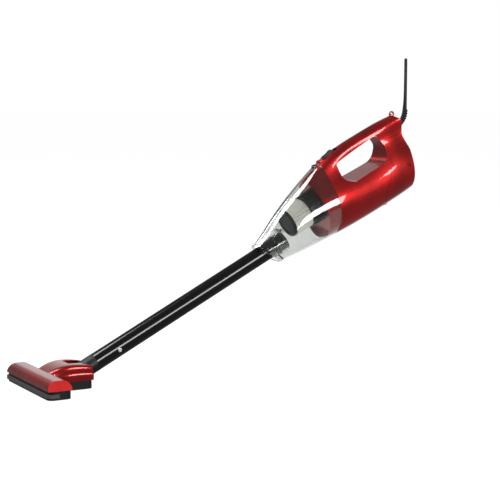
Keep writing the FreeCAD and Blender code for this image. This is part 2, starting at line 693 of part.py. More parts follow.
def inlet_tube():
    """The clear tube that takes the wand, with a seal groove and ears for the flap's pin."""
    ears = [box(FLAP_PIN_X - 4, FLAP_PIN_X + 2.6, side * EAR_Y - 1.5, side * EAR_Y + 1.5,
                INLET_R - 3, FLAP_PIN_Z + 2.6) for side in (-1, 1)]
    tube = joined([cylinder(-40, INLET_END, INLET_R)] + ears).cut(mouth_side(WEB_FROM - 2))
    tube = tube.cut(cylinder(-60, 80, WAND_R + GAP))
    tube = tube.cut(cylinder(SEAL_FROM, SEAL_FROM + SEAL_LENGTH, SEAL_R + GAP))
    return tube.cut(cross_rod(FLAP_PIN_X, FLAP_PIN_Z, FLAP_PIN_R + FIT / 2, -20, 20))


def inlet_flap():
    """A disc that hangs in front of the tube's end."""
    plate = cylinder(INLET_END + GAP, INLET_END + GAP + FLAP_THICK, FLAP_R)
    knuckle = cross_rod(FLAP_PIN_X, FLAP_PIN_Z, 2.4, -EAR_Y + 2, EAR_Y - 2)
    neck = box(INLET_END + GAP, INLET_END + GAP + FLAP_THICK, -7, 7, 10, FLAP_PIN_Z)
    flap = joined([plate, neck, knuckle])
    return flap.cut(cross_rod(FLAP_PIN_X, FLAP_PIN_Z, FLAP_PIN_R + FIT, -20, 20))


def flap_pin():
    return cross_rod(FLAP_PIN_X, FLAP_PIN_Z, FLAP_PIN_R, -EAR_Y - 1.5, EAR_Y + 1.5)


def wand_seal():
    return ring(SEAL_FROM + GAP, SEAL_FROM + SEAL_LENGTH - GAP, SEAL_R, WAND_R + FIT)


def filter_cap():
    cap = cylinder(FILTER_CAP_FROM, FILTER_CAP_TO, FILTER_CAP_R, 0, FILTER_Z)
    cap = cap.makeFillet(2.0, [e for e in cap.Edges if e.BoundBox.XMax < FILTER_CAP_FROM + 0.1])
    return cap.cut(cylinder(FILTER_CAP_FROM - 1, FILTER_CAP_FROM + 1.2, FILTER_CAP_R - 7, 0, FILTER_Z))


def pleated_filter():
    """A ring of paper folded in and out."""
    corners = []
    for index in range(2 * PLEATS + 1):
        turn = math.pi * index / PLEATS
        radius = PLEAT_R - (PLEAT_DEPTH if index % 2 else 0)
        corners.append(V(FILTER_CAP_TO, radius * math.cos(turn), FILTER_Z + radius * math.sin(turn)))
    corners[-1] = corners[0]
    folds = Part.Face(Part.makePolygon(corners)).extrude(V(PLEAT_TO - FILTER_CAP_TO, 0, 0))
    return folds.cut(cylinder(0, 200, PLEAT_R - PLEAT_DEPTH - 3, 0, FILTER_Z))


def filter_holder():
    """The cup that the pleats stand in, with a spigot that turns in the bulkhead."""
    rim = ring(PLEAT_TO, HOLDER_TO, HOLDER_R, HOLDER_R - 2, FILTER_Z)
    face = ring(PLEAT_TO, PLEAT_TO + 2.5, HOLDER_R, PLEAT_R - PLEAT_DEPTH - 4, FILTER_Z)
    back = ring(HOLDER_TO - 2.5, HOLDER_TO, HOLDER_R, THROAT_R - 3, FILTER_Z)
    spigot = ring(HOLDER_TO - 2.5, BULKHEAD_FROM + BULKHEAD + 2, THROAT_R - GAP, THROAT_R - 3, FILTER_Z)
    return joined([rim, face, back, spigot])


# ---- wand -----------------------------------------------------------------------------------
def wand_tube():
    tube = ring(WAND_LOW, WAND_HIGH, WAND_R, WAND_R - WAND_WALL)
    return tube.cut(cross_rod(LOCK_AT, 0, LOCK_R + GAP, -WAND_R - 5, 0))


def pivot_spigot():
    """The barrel that turns in the head and the tube that goes up into the wand."""
    pivot = -MOUTH_DISTANCE
    barrel = cross_rod(pivot, 0, PIVOT_BARREL_R, -NOTCH_HALF + GAP, NOTCH_HALF - GAP)
    neck = cylinder(pivot, WAND_LOW - GAP, WAND_R - FIT)
    tube = cylinder(WAND_LOW - 1, SPIGOT_TO, SPIGOT_R)
    body = joined([barrel, neck.common(box(-500, 0, -NOTCH_HALF + GAP, NOTCH_HALF - GAP, -40, 40)), tube])
    bore = cylinder(pivot, SPIGOT_TO + 1, SPIGOT_R - SPIGOT_WALL)
    port = Part.makeCylinder(PORT_R, 40, V(pivot, 0, 0), V(-math.cos(math.radians(PITCH)), 0,
                                                          math.sin(math.radians(PITCH))))
    body = body.cut(bore).cut(port)
    body = body.cut(cross_rod(pivot, 0, PIVOT_PIN_R + FIT, -40, 40))
    return body.cut(cross_rod(LOCK_AT, 0, LOCK_R + FIT, -WAND_R, 0))


def lock_button():
    stem = cross_rod(LOCK_AT, 0, LOCK_R, -WAND_R - LOCK_PROUD, -LOCK_FLANGE_Y)
    stem = stem.makeFillet(0.6, [e for e in stem.Edges if e.BoundBox.YMax < -WAND_R - LOCK_PROUD + 0.1])
    flange = cross_rod(LOCK_AT, 0, LOCK_R + 1.4, -LOCK_FLANGE_Y - 1.2, -LOCK_FLANGE_Y)
    return joined([stem, flange])


def lock_spring():
    """A bent strip across the bore, drawn as it lies with the button pressed."""
    tip = -LOCK_FLANGE_Y + LOCK_TRAVEL + GAP
    strip = Part.makePolygon([V(LOCK_AT - 5, tip, 0), V(LOCK_AT + 3, tip, 0), V(LOCK_AT + 18, 9, 0),
                              V(LOCK_AT + 18, 10, 0), V(LOCK_AT + 2.5, tip + 1, 0),
                              V(LOCK_AT - 5, tip + 1, 0), V(LOCK_AT - 5, tip, 0)])
    return Part.Face(strip).extrude(V(0, 0, 6)).translated(V(0, 0, -3))


# ---- floor head, in the floor's frame ---------------------------------------------------------
def head_form(inset, low, bar_top, neck_top):
    """The head's outer form: a bar with rounded ends and a neck, softened along the top."""
    bar = box(BAR_FRONT + inset, BAR_FRONT + BAR_DEPTH - inset, -BAR_WIDTH / 2 + inset,
              BAR_WIDTH / 2 - inset, low, bar_top)
    bar = bar.makeFillet(12.0 - inset, [e for e in bar.Edges if e.BoundBox.ZLength > bar_top - low - 1])
    neck = box(BAR_FRONT + BAR_DEPTH / 2, NECK_END - inset, -NECK_HALF + inset, NECK_HALF - inset,
               low, neck_top)
    neck = neck.makeFillet(12.0 - inset, [e for e in neck.Edges if e.BoundBox.ZLength > neck_top - low - 1
                                          and e.BoundBox.XMin > NECK_END - inset - 1])
    return bar, neck


def soft_top(solid, top, radius):
    return solid.makeFillet(radius, [e for e in solid.Edges if e.BoundBox.ZMin > top - 0.1])


def notch():
    """The slot that the pivot stands in."""
    return box(NOTCH_FROM, NECK_END + 10, -NOTCH_HALF, NOTCH_HALF, -10, NECK_TOP + 20)


def notch_wall():
    return box(NOTCH_FROM - HEAD_WALL, NECK_END + 10, -NOTCH_HALF - HEAD_WALL, NOTCH_HALF + HEAD_WALL,
               -10, NECK_TOP + 20)


def uprights(radius, z0, z1):
    """A rod at each of the head's screws."""
    return [Part.makeCylinder(radius, z1 - z0, V(x, y, z0), V(0, 0, 1)) for x, y in HEAD_SCREWS]


def head_cover():
    """The glossy top: a rounded bar, a hump behind it and a horn on each side of the pivot."""
    bar, neck = head_form(0, BASE_TOP, BAR_TOP, NECK_TOP)
    bar = soft_top(bar, BAR_TOP, 11.0)
    neck = soft_top(neck, NECK_TOP, 9.0)
    in_bar, in_neck = head_form(HEAD_WALL, BASE_TOP - 1, BAR_TOP - HEAD_WALL, NECK_TOP - HEAD_WALL)
    space = soft_top(in_bar, BAR_TOP - HEAD_WALL, 8.5).fuse(soft_top(in_neck, NECK_TOP - HEAD_WALL, 6.5))
    posts = uprights(HEAD_POST_R, BASE_TOP, BAR_TOP - HEAD_WALL)
    cover = bar.fuse(neck).cut(space.cut(notch_wall()).cut(posts)).cut(notch())
    cover = cover.cut(uprights(HEAD_SCREW_R + FIT, BASE_TOP - 1, HEAD_SCREW_TO + 1))
    cover = cover.cut(cross_rod(PIVOT_X, PIVOT_Z, PIVOT_PIN_R + FIT, -40, 40))
    return cover.cut(cross_rod(PIVOT_X, PIVOT_Z, PORT_R, -5, 5)).removeSplitter()


def head_base():
    """The black tray: the suction slot in its sole, bristle grooves and the way to the pivot."""
    bar, neck = head_form(0, BASE_LOW, BASE_TOP - FIT, BASE_TOP - FIT)
    in_bar, in_neck = head_form(HEAD_WALL, BASE_LOW + HEAD_WALL, BASE_TOP + 5, BASE_TOP + 5)
    space = in_bar.fuse(in_neck).cut(notch_wall()).cut(uprights(HEAD_POST_R, 0, BASE_TOP + 10))
    base = bar.fuse(neck).cut(space).cut(notch())
    base = base.cut(uprights(HEAD_SCREW_R + FIT, 0, BASE_TOP + 10))
    base = base.cut(uprights(HEAD_SCREW_HEAD_R + FIT, 0, BASE_LOW + HEAD_WALL))
    base = base.cut(box(SLOT_FROM, SLOT_TO, -SLOT_HALF, SLOT_HALF, -10, 10))
    for x0 in BRISTLES:
        base = base.cut(box(x0 - FIT, x0 + BRISTLE_THICK + FIT, -BRISTLE_HALF - FIT, BRISTLE_HALF + FIT,
                            -10, BASE_LOW + HEAD_WALL + 1))
    port = Part.makeCylinder(PORT_R, HEAD_WALL + 2, V(NOTCH_FROM - HEAD_WALL - 1, 0, PIVOT_Z), V(1, 0, 0))
    base = base.cut(port)
    return base.cut(cross_rod(PIVOT_X, PIVOT_Z, PIVOT_PIN_R + FIT, -40, 40)).removeSplitter()


def bristle_strip(x0):
    return box(x0, x0 + BRISTLE_THICK, -BRISTLE_HALF, BRISTLE_HALF, 0, BRISTLE_HEIGHT)


def bumper_strip():
    """A soft strip along the front of the base."""
    strip = box(BAR_FRONT - BUMPER_OUT, BAR_FRONT + 20, -BAR_WIDTH / 2 - BUMPER_OUT,
                BAR_WIDTH / 2 + BUMPER_OUT, BUMPER_LOW, BUMPER_LOW + BUMPER_HEIGHT)
    strip = strip.makeFillet(12.0, [e for e in strip.Edges if e.BoundBox.ZLength > BUMPER_HEIGHT - 0.1
                                    and e.BoundBox.XMin < BAR_FRONT])
    bar, neck = head_form(0, 0, BAR_TOP, NECK_TOP)
    return strip.cut(bar)


def pivot_pins():
    """A pin on each side, held in the horns."""
    pins = [cross_rod(PIVOT_X, PIVOT_Z, PIVOT_PIN_R, *sorted((side * PIN_FROM, side * PIN_TO)))
            for side in (-1, 1)]
    return Part.makeCompound(pins)


def head_screws():
    """Four screws from the sole up into the cover's posts."""
    screws = []
    seat = BASE_LOW + HEAD_WALL - FIT
    for head, shank in zip(uprights(HEAD_SCREW_HEAD_R, seat - HEAD_SCREW_HEAD, seat),
                           uprights(HEAD_SCREW_R, seat - 0.5, HEAD_SCREW_TO)):
        screws.append(joined([head, shank]))
    return Part.makeCompound(screws)


# ---- lead -----------------------------------------------------------------------------------
def boot_centre(share):
    """A point and a direction on the strain relief's bent centre line."""
    angle = math.radians(BOOT_FROM_DEG + (90 - PITCH - BOOT_FROM_DEG) * share)
    start = math.radians(BOOT_FROM_DEG)
    point = BOOT_AT + V(math.sin(angle) - math.sin(start), 0, math.cos(start) - math.cos(angle)) * BOOT_BEND
    return point, V(math.cos(angle), 0, math.sin(angle))


def boot_form(grow):
    """The strain relief: a straight root in the wall, then a taper that bends upright."""
    along = boot_centre(0)[1]
    root = Part.makeCylinder(BOOT_R + grow, BOOT_ROOT, BOOT_AT - along * BOOT_ROOT, along)
    if grow:
        return root
    rings = []
    for index in range(BOOT_RINGS + 1):
        share = index / BOOT_RINGS
        point, along = boot_centre(share)
        rings.append(Part.Wire([Part.makeCircle(BOOT_R + (BOOT_TIP_R - BOOT_R) * share, point, along)]))
    return joined([root, Part.makeLoft(rings, True, False)])


def tube(points, radius):
    """Straight runs joined by tangent arcs as large as the runs allow."""
    edges = []
    radii = []
    start = points[0]
    for before, corner, after in zip(points, points[1:], points[2:]):
        back = (before - corner).normalize()
        on = (after - corner).normalize()
        reach = 0.45 * min(before.distanceToPoint(corner), after.distanceToPoint(corner))
        half_angle = back.getAngle(on) / 2
        bend = reach * math.tan(half_angle)
        radii.append(bend)
        middle = corner + (back + on).normalize() * (bend / math.sin(half_angle) - bend)
        edges.append(Part.LineSegment(start, corner + back * reach).toShape())
        edges.append(Part.Arc(corner + back * reach, middle, corner + on * reach).toShape())
        start = corner + on * reach
    edges.append(Part.LineSegment(start, points[-1]).toShape())
    path = Part.Wire(edges)
    ring_at_start = Part.Wire([Part.makeCircle(radius, points[0], points[1] - points[0])])
    solid = path.makePipeShell([ring_at_start], True, False)
    return solid, path.Length, radii


def in_hank(du, dw, y):
    """A place on the hank, from its middle: along the unit, square to it, and across."""
    return HANK_AT + V(du, y, dw)


def lead_hank():
    """The outer shape of the folded turns."""
    half_run = HANK_RUN / 2
    low, high = HANK_AT.y - HANK_THICK / 2, HANK_AT.y + HANK_THICK / 2
    middle = box(HANK_AT.x - half_run, HANK_AT.x + half_run, low, high,
                 HANK_AT.z - HANK_R, HANK_AT.z + HANK_R)
    folds = [cross_rod(HANK_AT.x + side * half_run, HANK_AT.z, HANK_R, low, high) for side in (-1, 1)]
    return joined([middle] + folds)


def lead_tail():
    return tube([in_hank(*point) for point in TAIL_ROUTE], LEAD_R)


def band(at, outline):
    """A strap round the hank, following an outline square to its runs."""
    outer = Part.makePolygon([in_hank(at, dw, y) for dw, y in outline + outline[:1]])
    inner = outer.makeOffset2D(-TIE_THICK)
    return Part.Face(outer).cut(Part.Face(inner)).extrude(V(TIE_WIDTH, 0, 0))


def lead_ties():
    """A strap round the hank and plug, one round the hank alone and its string to the eyelet."""
    side = HANK_R + TIE_THICK + 0.1
    near, far = -HANK_THICK / 2 - TIE_THICK - 0.1, HANK_THICK / 2 + TIE_THICK + 0.1
    plug_far = PLUG_AT[2] + PLUG_HALF_THICK + TIE_THICK + 0.1
    plug_low, plug_high = (PLUG_AT[1] + s * (PLUG_HALF_WIDTH + TIE_THICK) for s in (-1, 1))
    first = band(TIES_AT[0], [(-side, near), (side, near), (side, far), (plug_high, plug_far),
                              (plug_low, plug_far), (-side, far)])
    second = band(TIES_AT[1], [(-side, near), (side, near), (side, far), (-side, far)])
    top = in_hank(TIES_AT[1] + TIE_WIDTH / 2, side, near + 4)
    pieces = [second]
    for start, end in zip([top] + STRING_ROUTE, STRING_ROUTE):
        pieces.append(Part.makeCylinder(STRING_R, start.distanceToPoint(end), start, end - start))
        pieces.append(Part.makeSphere(STRING_R, end))
    return Part.makeCompound([first, joined(pieces)])


def plug_body():
    """A moulded plug: a flat grip with a waist and a collar where the lead goes in."""
    du, dw, y = PLUG_AT
    face = in_hank(du, dw, y)
    grip = box(face.x - PLUG_LENGTH, face.x - 6, face.y - PLUG_HALF_THICK, face.y + PLUG_HALF_THICK,
               face.z - PLUG_HALF_WIDTH, face.z + PLUG_HALF_WIDTH)
    grip = grip.makeFillet(5.0, grip.Edges)
    collar = Part.makeCone(LEAD_R + 3.2, LEAD_R + 1.2, 12, face + V(-12, 0, 0), V(1, 0, 0))
    return joined([grip, collar])


def plug_pins():
    du, dw, y = PLUG_AT
    pins = []
    for side in (-1, 1):
        root = in_hank(du - PLUG_LENGTH, dw + side * PIN_SPACING / 2, y)
        pin = Part.makeCylinder(PLUG_PIN_R, PIN_LENGTH, root, V(-1, 0, 0))
        pins.append(pin.makeFillet(1.5, [e for e in pin.Edges if e.BoundBox.XMax < root.x - 1
                                         and e.BoundBox.XLength < 0.1]))
    return Part.makeCompound(pins)


# ---- the whole object -----------------------------------------------------------------------
def nodes():
    """Every piece by name, on the floor's frame."""
    left, right, cover = casings()
    lead, lead_length, lead_radii = tube(LEAD_ROUTE, LEAD_R)
    tail, tail_length, tail_radii = lead_tail()
    for name, solid, length, radii in (("lead", lead, lead_length, lead_radii),
                                       ("lead_tail", tail, tail_length, tail_radii)):
        ideal = math.pi * LEAD_R ** 2 * length
        print(f"{name}: length {length:.1f}, volume {solid.Volume:.0f} of {ideal:.0f}, bend radii",
              [round(r, 1) for r in radii])
    tilted = {
        "left_housing": left,
        "right_housing": right,
        "rear_cover": cover,
        "front_collar": front_collar(),
        "filter_seal": filter_seal(),
        "motor_can": motor_can(),
        "front_bearing": bearing(CAN_FROM - 2),
        "rear_bearing": bearing(CAN_TO - 4),
        "front_motor_mount": rubber_mount(CAN_FROM + 2),
        "rear_motor_mount": rubber_mount(CAN_TO - MOUNT_LENGTH - 2),
        "stator_core": stator_core(),
        "field_windings": field_windings(),
        "brush_holders": brush_holders(),
        "carbon_brushes": carbon_brushes(),
        "motor_shaft": motor_shaft(),
        "armature": armature(),
        "commutator": commutator(),
        "impeller": impeller(),
        "impeller_nut": impeller_nut(),
        "fan_shroud": fan_shroud(),
        "intake_guard": intake_guard(),
        "exhaust_foam": exhaust_foam(),
        "wires": wires(),
        "cord_clamp": cord_clamp(),
        "switch_body": switch_body(),
        "housing_screws": housing_screws(),
        "power_slider": power_slider(),
        "latch_button": latch_button(),
        "latch_spring": latch_spring(),
        "hanging_loop": hanging_loop(),
        "rest_foot": rest_foot(),
        "cup_shell": cup_shell(),
        "inlet_tube": inlet_tube(),
        "inlet_flap": inlet_flap(),
        "flap_pin": flap_pin(),
        "wand_seal": wand_seal(),
        "filter_cap": filter_cap(),
        "pleated_filter": pleated_filter(),
        "filter_holder": filter_holder(),
        "wand_tube": wand_tube(),
        "pivot_spigot": pivot_spigot(),
        "lock_button": lock_button(),
        "lock_spring": lock_spring(),
        "strain_relief": boot_form(0),
        "lead_hank": lead_hank(),
        "lead_tail": tail,
        "lead_ties": lead_ties(),
        "plug_body": plug_body(),
        "plug_pins": plug_pins(),
    }
    made = {name: place(shape) for name, shape in tilted.items()}
    made["lead"] = lead
    made["head_cover"] = head_cover()
    made["head_base"] = head_base()
    made["bumper_strip"] = bumper_strip()
    made["front_bristles"] = bristle_strip(BRISTLES[0])
    made["rear_bristles"] = bristle_strip(BRISTLES[1])
    made["pivot_pins"] = pivot_pins()
    made["head_screws"] = head_screws()
    return made


def main():
    os.makedirs("parts", exist_ok=True)
    for name, shape in nodes().items():
        print(f"{name}: {len(shape.Solids)} solid, volume {shape.Volume:.0f}, valid {shape.isValid()}")
        shape.exportStep(os.path.join("parts", name + ".step"))


main()
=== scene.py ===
"""Looks for a corded stick vacuum cleaner: its lead, floor head, controls and finishes.

Everything is in metres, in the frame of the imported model. Sizes are written in millimetres and
multiplied by MM. Pieces on the hand unit are shaped in its own frame, where x runs up the wand,
z is square to it and the origin is on the wand's axis at the cup's mouth.
"""
import json
import math

import bmesh
import bpy
from mathutils import Matrix, Vector


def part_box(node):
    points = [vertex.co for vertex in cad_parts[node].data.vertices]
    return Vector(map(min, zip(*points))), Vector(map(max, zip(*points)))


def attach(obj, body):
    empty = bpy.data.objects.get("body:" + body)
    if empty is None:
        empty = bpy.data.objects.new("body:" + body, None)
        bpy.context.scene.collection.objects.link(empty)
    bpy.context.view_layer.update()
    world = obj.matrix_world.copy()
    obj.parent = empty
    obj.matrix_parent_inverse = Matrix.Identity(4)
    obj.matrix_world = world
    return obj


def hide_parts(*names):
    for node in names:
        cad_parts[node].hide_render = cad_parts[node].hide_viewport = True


bl_info = {
    "name": "Stick Vacuum Cleaner",
    "version": (1, 0, 0),
    "blender": (4, 5, 0),
    "location": "3D View > Sidebar > Vacuum",
    "description": "Models and paints a corded stick vacuum cleaner on its packed frame",
    "category": "Object",
}

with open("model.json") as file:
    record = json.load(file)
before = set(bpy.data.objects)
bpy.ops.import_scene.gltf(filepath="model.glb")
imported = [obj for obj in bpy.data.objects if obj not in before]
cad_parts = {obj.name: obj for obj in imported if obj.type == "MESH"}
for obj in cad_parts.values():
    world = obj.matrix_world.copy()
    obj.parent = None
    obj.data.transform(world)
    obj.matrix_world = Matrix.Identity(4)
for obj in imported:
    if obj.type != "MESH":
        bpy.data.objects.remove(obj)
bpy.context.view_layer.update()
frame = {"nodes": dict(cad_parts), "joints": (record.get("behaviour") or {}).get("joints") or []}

MM = 0.001
MOUTH_DISTANCE = 460     # from the head's pivot to the cup's mouth, along the wand
JOINTS = {joint["name"]: joint for joint in frame["joints"]}
PIVOT = Vector(JOINTS["head_pitch"]["pos_m"])
UP_WAND = Vector(JOINTS["wand_turn"]["axis"])
MOUTH = PIVOT + UP_WAND * MOUTH_DISTANCE * MM
SQUARE = UP_WAND.cross(Vector((0, 1, 0)))
UNIT = Matrix((UP_WAND, Vector((0, 1, 0)), SQUARE)).transposed().to_4x4()
UNIT.translation = MOUTH


def linear(code):
    """An sRGB hex value as the linear colour that the shaders take."""
    parts = [int(code[i:i + 2], 16) / 255 for i in (0, 2, 4)]
    return tuple(c / 12.92 if c <= 0.04045 else ((c + 0.055) / 1.055) ** 2.4 for c in parts)


# ---- sizes and colours that a user would change --------------------------------------------------
def colour(name, description, code):
    return bpy.props.FloatVectorProperty(
        name=name, description=description, default=linear(code), subtype="COLOR", size=3, min=0, max=1)


def length(name, description, millimetres):
    return bpy.props.FloatProperty(name=name, description=description, default=millimetres * MM,
                                   unit="LENGTH", min=0.0001, precision=4)


class VacuumFinish(bpy.types.PropertyGroup):
    """The colours of the mouldings."""
    red: colour("Red", "Body of the metallic red", "A30B0A")
    red_deep: colour("Red, deep", "The red between the flakes", "6B0505")
    black: colour("Black", "The black mouldings", "0B0B0C")
    wand: colour("Wand", "The gloss black tube", "060607")
    clear: colour("Clear", "Tint of the clear cup", "E1E3E1")
    paper: colour("Paper", "The pleated filter", "F2F0EA")
    rubber: colour("Rubber", "Lead, strain relief and bumper", "0D0D0E")
    flap: colour("Flap", "The soft grey inlet flap", "77736F")


class VacuumSizes(bpy.types.PropertyGroup):
    """The sizes of the pieces that are modelled here."""
    lead_diameter: length("Lead", "Outside diameter of the mains lead", 6.5)
    hank_run: length("Hank run", "Straight run of the folded lead", 100)
    hank_outer: length("Outer fold", "Radius of the outer layer's folds", 27)
    hank_inner: length("Inner fold", "Radius of the inner layer's folds", 20.5)
    tuft_spacing: length("Tuft spacing", "Distance between bristle tufts", 5.0)
    edge: length("Edge", "Radius on a moulding's edges", 0.8)


# ---- small helpers -------------------------------------------------------------------------------
def clear_selection():
    active = bpy.context.object
    if active is not None and active.mode != "OBJECT":
        bpy.ops.object.mode_set(mode="OBJECT")
    bpy.ops.object.select_all(action="DESELECT")


def select_only(piece):
    clear_selection()
    piece.select_set(True)
    bpy.context.view_layer.objects.active = piece


def edit(piece, mode):
    """Opens a piece in edit mode with nothing selected. mode is VERT, EDGE or FACE."""
    select_only(piece)
    bpy.ops.object.mode_set(mode="EDIT")
    bpy.ops.mesh.select_mode(type=mode)
    bpy.ops.mesh.select_all(action="DESELECT")


def pick(piece, kind, test):
    """Selects only the verts, edges or faces whose middle passes a test."""
    bpy.ops.mesh.select_all(action="DESELECT")
    mesh = bmesh.from_edit_mesh(piece.data)
    found = 0
    for item in getattr(mesh, kind):
        if kind == "verts":
            middle = item.co
        elif kind == "edges":
            middle = (item.verts[0].co + item.verts[1].co) / 2
        else:
            middle = item.calc_center_median()
        if test(middle, item):
            item.select_set(True)
            found += 1
    mesh.select_flush_mode()
    bmesh.update_edit_mesh(piece.data)
    if not found:
        raise RuntimeError(f"{piece.name}: nothing was picked")


def turn(angle, axis, centre):
    """Turns the selection by the right-hand rule; without a window the operator turns the other way."""
    bpy.ops.transform.rotate(value=-angle, orient_axis=axis, center_override=centre)


def modify(piece, kind, **settings):
    """Adds a modifier with its settings and applies it."""
    select_only(piece)
    modifier = piece.modifiers.new(kind.title(), kind)
    for key, value in settings.items():
        setattr(modifier, key, value)
    bpy.ops.object.modifier_apply(modifier=modifier.name)


def round_edges(piece, width, segments, sharper_than):
    """Rounds the edges that turn by more than an angle in degrees. The width is in metres."""
    modify(piece, "BEVEL", width=width, segments=segments, limit_method="ANGLE",
           angle_limit=math.radians(sharper_than))


def block(name, x0, x1, y0, y1, z0, z1):
    """A box between corners in millimetres."""
    clear_selection()
    bpy.ops.mesh.primitive_cube_add(
        size=1, location=((x0 + x1) / 2 * MM, (y0 + y1) / 2 * MM, (z0 + z1) / 2 * MM))
    piece = bpy.context.object
    piece.name = name
    piece.scale = ((x1 - x0) * MM, (y1 - y0) * MM, (z1 - z0) * MM)
    bpy.ops.object.transform_apply(location=True, rotation=True, scale=True)
    return piece


def rod(name, radius, depth, centre, axis="Z", sides=32):
    """A cylinder in millimetres about its centre."""
    clear_selection()
    rotation = {"X": (0, math.pi / 2, 0), "Y": (math.pi / 2, 0, 0), "Z": (0, 0, 0)}[axis]
    bpy.ops.mesh.primitive_cylinder_add(vertices=sides, radius=radius * MM, depth=depth * MM,
                                        location=[c * MM for c in centre], rotation=rotation)
    piece = bpy.context.object
    piece.name = name
    bpy.ops.object.transform_apply(location=True, rotation=True, scale=True)
    return piece


def profile_piece(name, corners, half_width):
    """A side outline in x and z, in millimetres, extruded across."""
    clear_selection()
    bpy.ops.mesh.primitive_circle_add(vertices=len(corners), radius=1, fill_type="NGON")
    piece = bpy.context.object
    piece.name = name
    for vertex, (x, z) in zip(piece.data.vertices, corners):
        vertex.co = (x * MM, -half_width * MM, z * MM)
    edit(piece, "FACE")
    bpy.ops.mesh.select_all(action="SELECT")
    bpy.ops.mesh.extrude_region_move(TRANSFORM_OT_translate={"value": (0, 2 * half_width * MM, 0)})
    bpy.ops.mesh.select_all(action="SELECT")
    bpy.ops.mesh.normals_make_consistent(inside=False)
    bpy.ops.object.mode_set(mode="OBJECT")
    return piece


def tube_along(name, route, radius, steps, roundness):
    """A round tube along control points in metres, with its ends capped. It stays a curve."""
    clear_selection()
    curve = bpy.data.curves.new(name, "CURVE")
    curve.dimensions = "3D"
    spline = curve.splines.new("NURBS")
    spline.points.add(len(route) - 1)
    for point, place in zip(spline.points, route):
        point.co = (*place, 1)
    spline.order_u = 3
    spline.use_endpoint_u = True
    spline.resolution_u = steps
    curve.bevel_depth = radius
    curve.bevel_resolution = roundness
    curve.use_fill_caps = True
    tube = bpy.data.objects.new(name, curve)
    bpy.context.collection.objects.link(tube)
    return tube


def cut(piece, cutter, operation="DIFFERENCE"):
    """A boolean with another piece, which is then removed."""
    modify(piece, "BOOLEAN", operation=operation, object=cutter, solver="EXACT")
    bpy.data.objects.remove(cutter)


def join(pieces, name):
    """Several pieces as one object."""
    clear_selection()
    for piece in pieces:
        piece.select_set(True)
    bpy.context.view_layer.objects.active = pieces[0]
    bpy.ops.object.join()
    pieces[0].name = name
    return pieces[0]


def finish_piece(piece, material, body, replaces=(), on_unit=True, angle=35):
    """Puts a piece in its place, smooths and paints it, and lets it ride on its body."""
    select_only(piece)
    if on_unit:
        piece.matrix_world = UNIT @ piece.matrix_world
    bpy.ops.object.transform_apply(location=True, rotation=True, scale=True)
    bpy.ops.object.shade_smooth_by_angle(angle=math.radians(angle))
    piece.data.name = piece.name
    piece.data.materials.clear()
    piece.data.materials.append(material)
    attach(piece, body)
    if replaces:
        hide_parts(*replaces)
    clear_selection()
    return piece


# ---- materials -----------------------------------------------------------------------------------
def blank(name):
    """An empty material and its node tree."""
    material = bpy.data.materials.new(name)
    material.use_nodes = True
    material.node_tree.nodes.clear()
    return material, material.node_tree


def add_node(tree, kind, inputs=None, **settings):
    """A node with its settings. An input is given a value or the socket that it is linked to."""
    node = tree.nodes.new(kind)
    for key, value in settings.items():
        setattr(node, key, value)
    for key, value in (inputs or {}).items():
        if isinstance(value, bpy.types.NodeSocket):
            tree.links.new(value, node.inputs[key])
        else:
            node.inputs[key].default_value = value
    return node


def opaque(value):
    return (*value, 1.0)


def red_flake_abs():
    """ABS moulded with aluminium flake under a clear lacquer: deep red that brightens where it faces
    the light, with a sharp clear reflection on top and a faint orange peel."""
    look = bpy.context.scene.vacuum_finish
    material, tree = blank("red_flake_abs")
    place = add_node(tree, "ShaderNodeTexCoord").outputs["Object"]
    # flakes are about 0.1 mm; 0.9 mm is the finest that still shows as a sparkle
    flakes = add_node(tree, "ShaderNodeTexVoronoi", {"Vector": place, "Scale": 1 / (0.9 * MM)})
    cloud = add_node(tree, "ShaderNodeTexNoise", {"Vector": place, "Scale": 1 / (60 * MM), "Detail": 2.0})
    spread = add_node(tree, "ShaderNodeMath", {0: flakes.outputs["Distance"], 1: 0.35},
                      operation="MULTIPLY")
    share = add_node(tree, "ShaderNodeMath", {0: spread.outputs[0], 1: cloud.outputs["Fac"]},
                     operation="ADD")
    ramp = add_node(tree, "ShaderNodeMapRange", {"Value": share.outputs[0],
                                                 "From Min": 0.35, "From Max": 0.95})
    tone = add_node(tree, "ShaderNodeMix", {"Factor": ramp.outputs["Result"], 6: opaque(look.red),
                                            7: opaque(look.red_deep)}, data_type="RGBA")
    gloss = add_node(tree, "ShaderNodeMapRange", {"Value": flakes.outputs["Distance"], "From Max": 0.8,
                                                  "To Min": 0.24, "To Max": 0.36})
    # lacquer waves about 2.5 mm long
    peel = add_node(tree, "ShaderNodeTexNoise", {"Vector": place, "Scale": 1 / (2.5 * MM), "Detail": 1.0})
    bump = add_node(tree, "ShaderNodeBump", {"Height": peel.outputs["Fac"], "Strength": 0.05,
                                             "Distance": 0.0002})
    surface = add_node(tree, "ShaderNodeBsdfPrincipled", {
        "Base Color": tone.outputs[2], "Metallic": 0.75, "Roughness": gloss.outputs["Result"],
        "Specular IOR Level": 0.3, "Normal": bump.outputs["Normal"], "Coat Weight": 0.7,
        "Coat Roughness": 0.03, "Coat IOR": 1.5})
    add_node(tree, "ShaderNodeOutputMaterial", {"Surface": surface.outputs["BSDF"]})
    return material


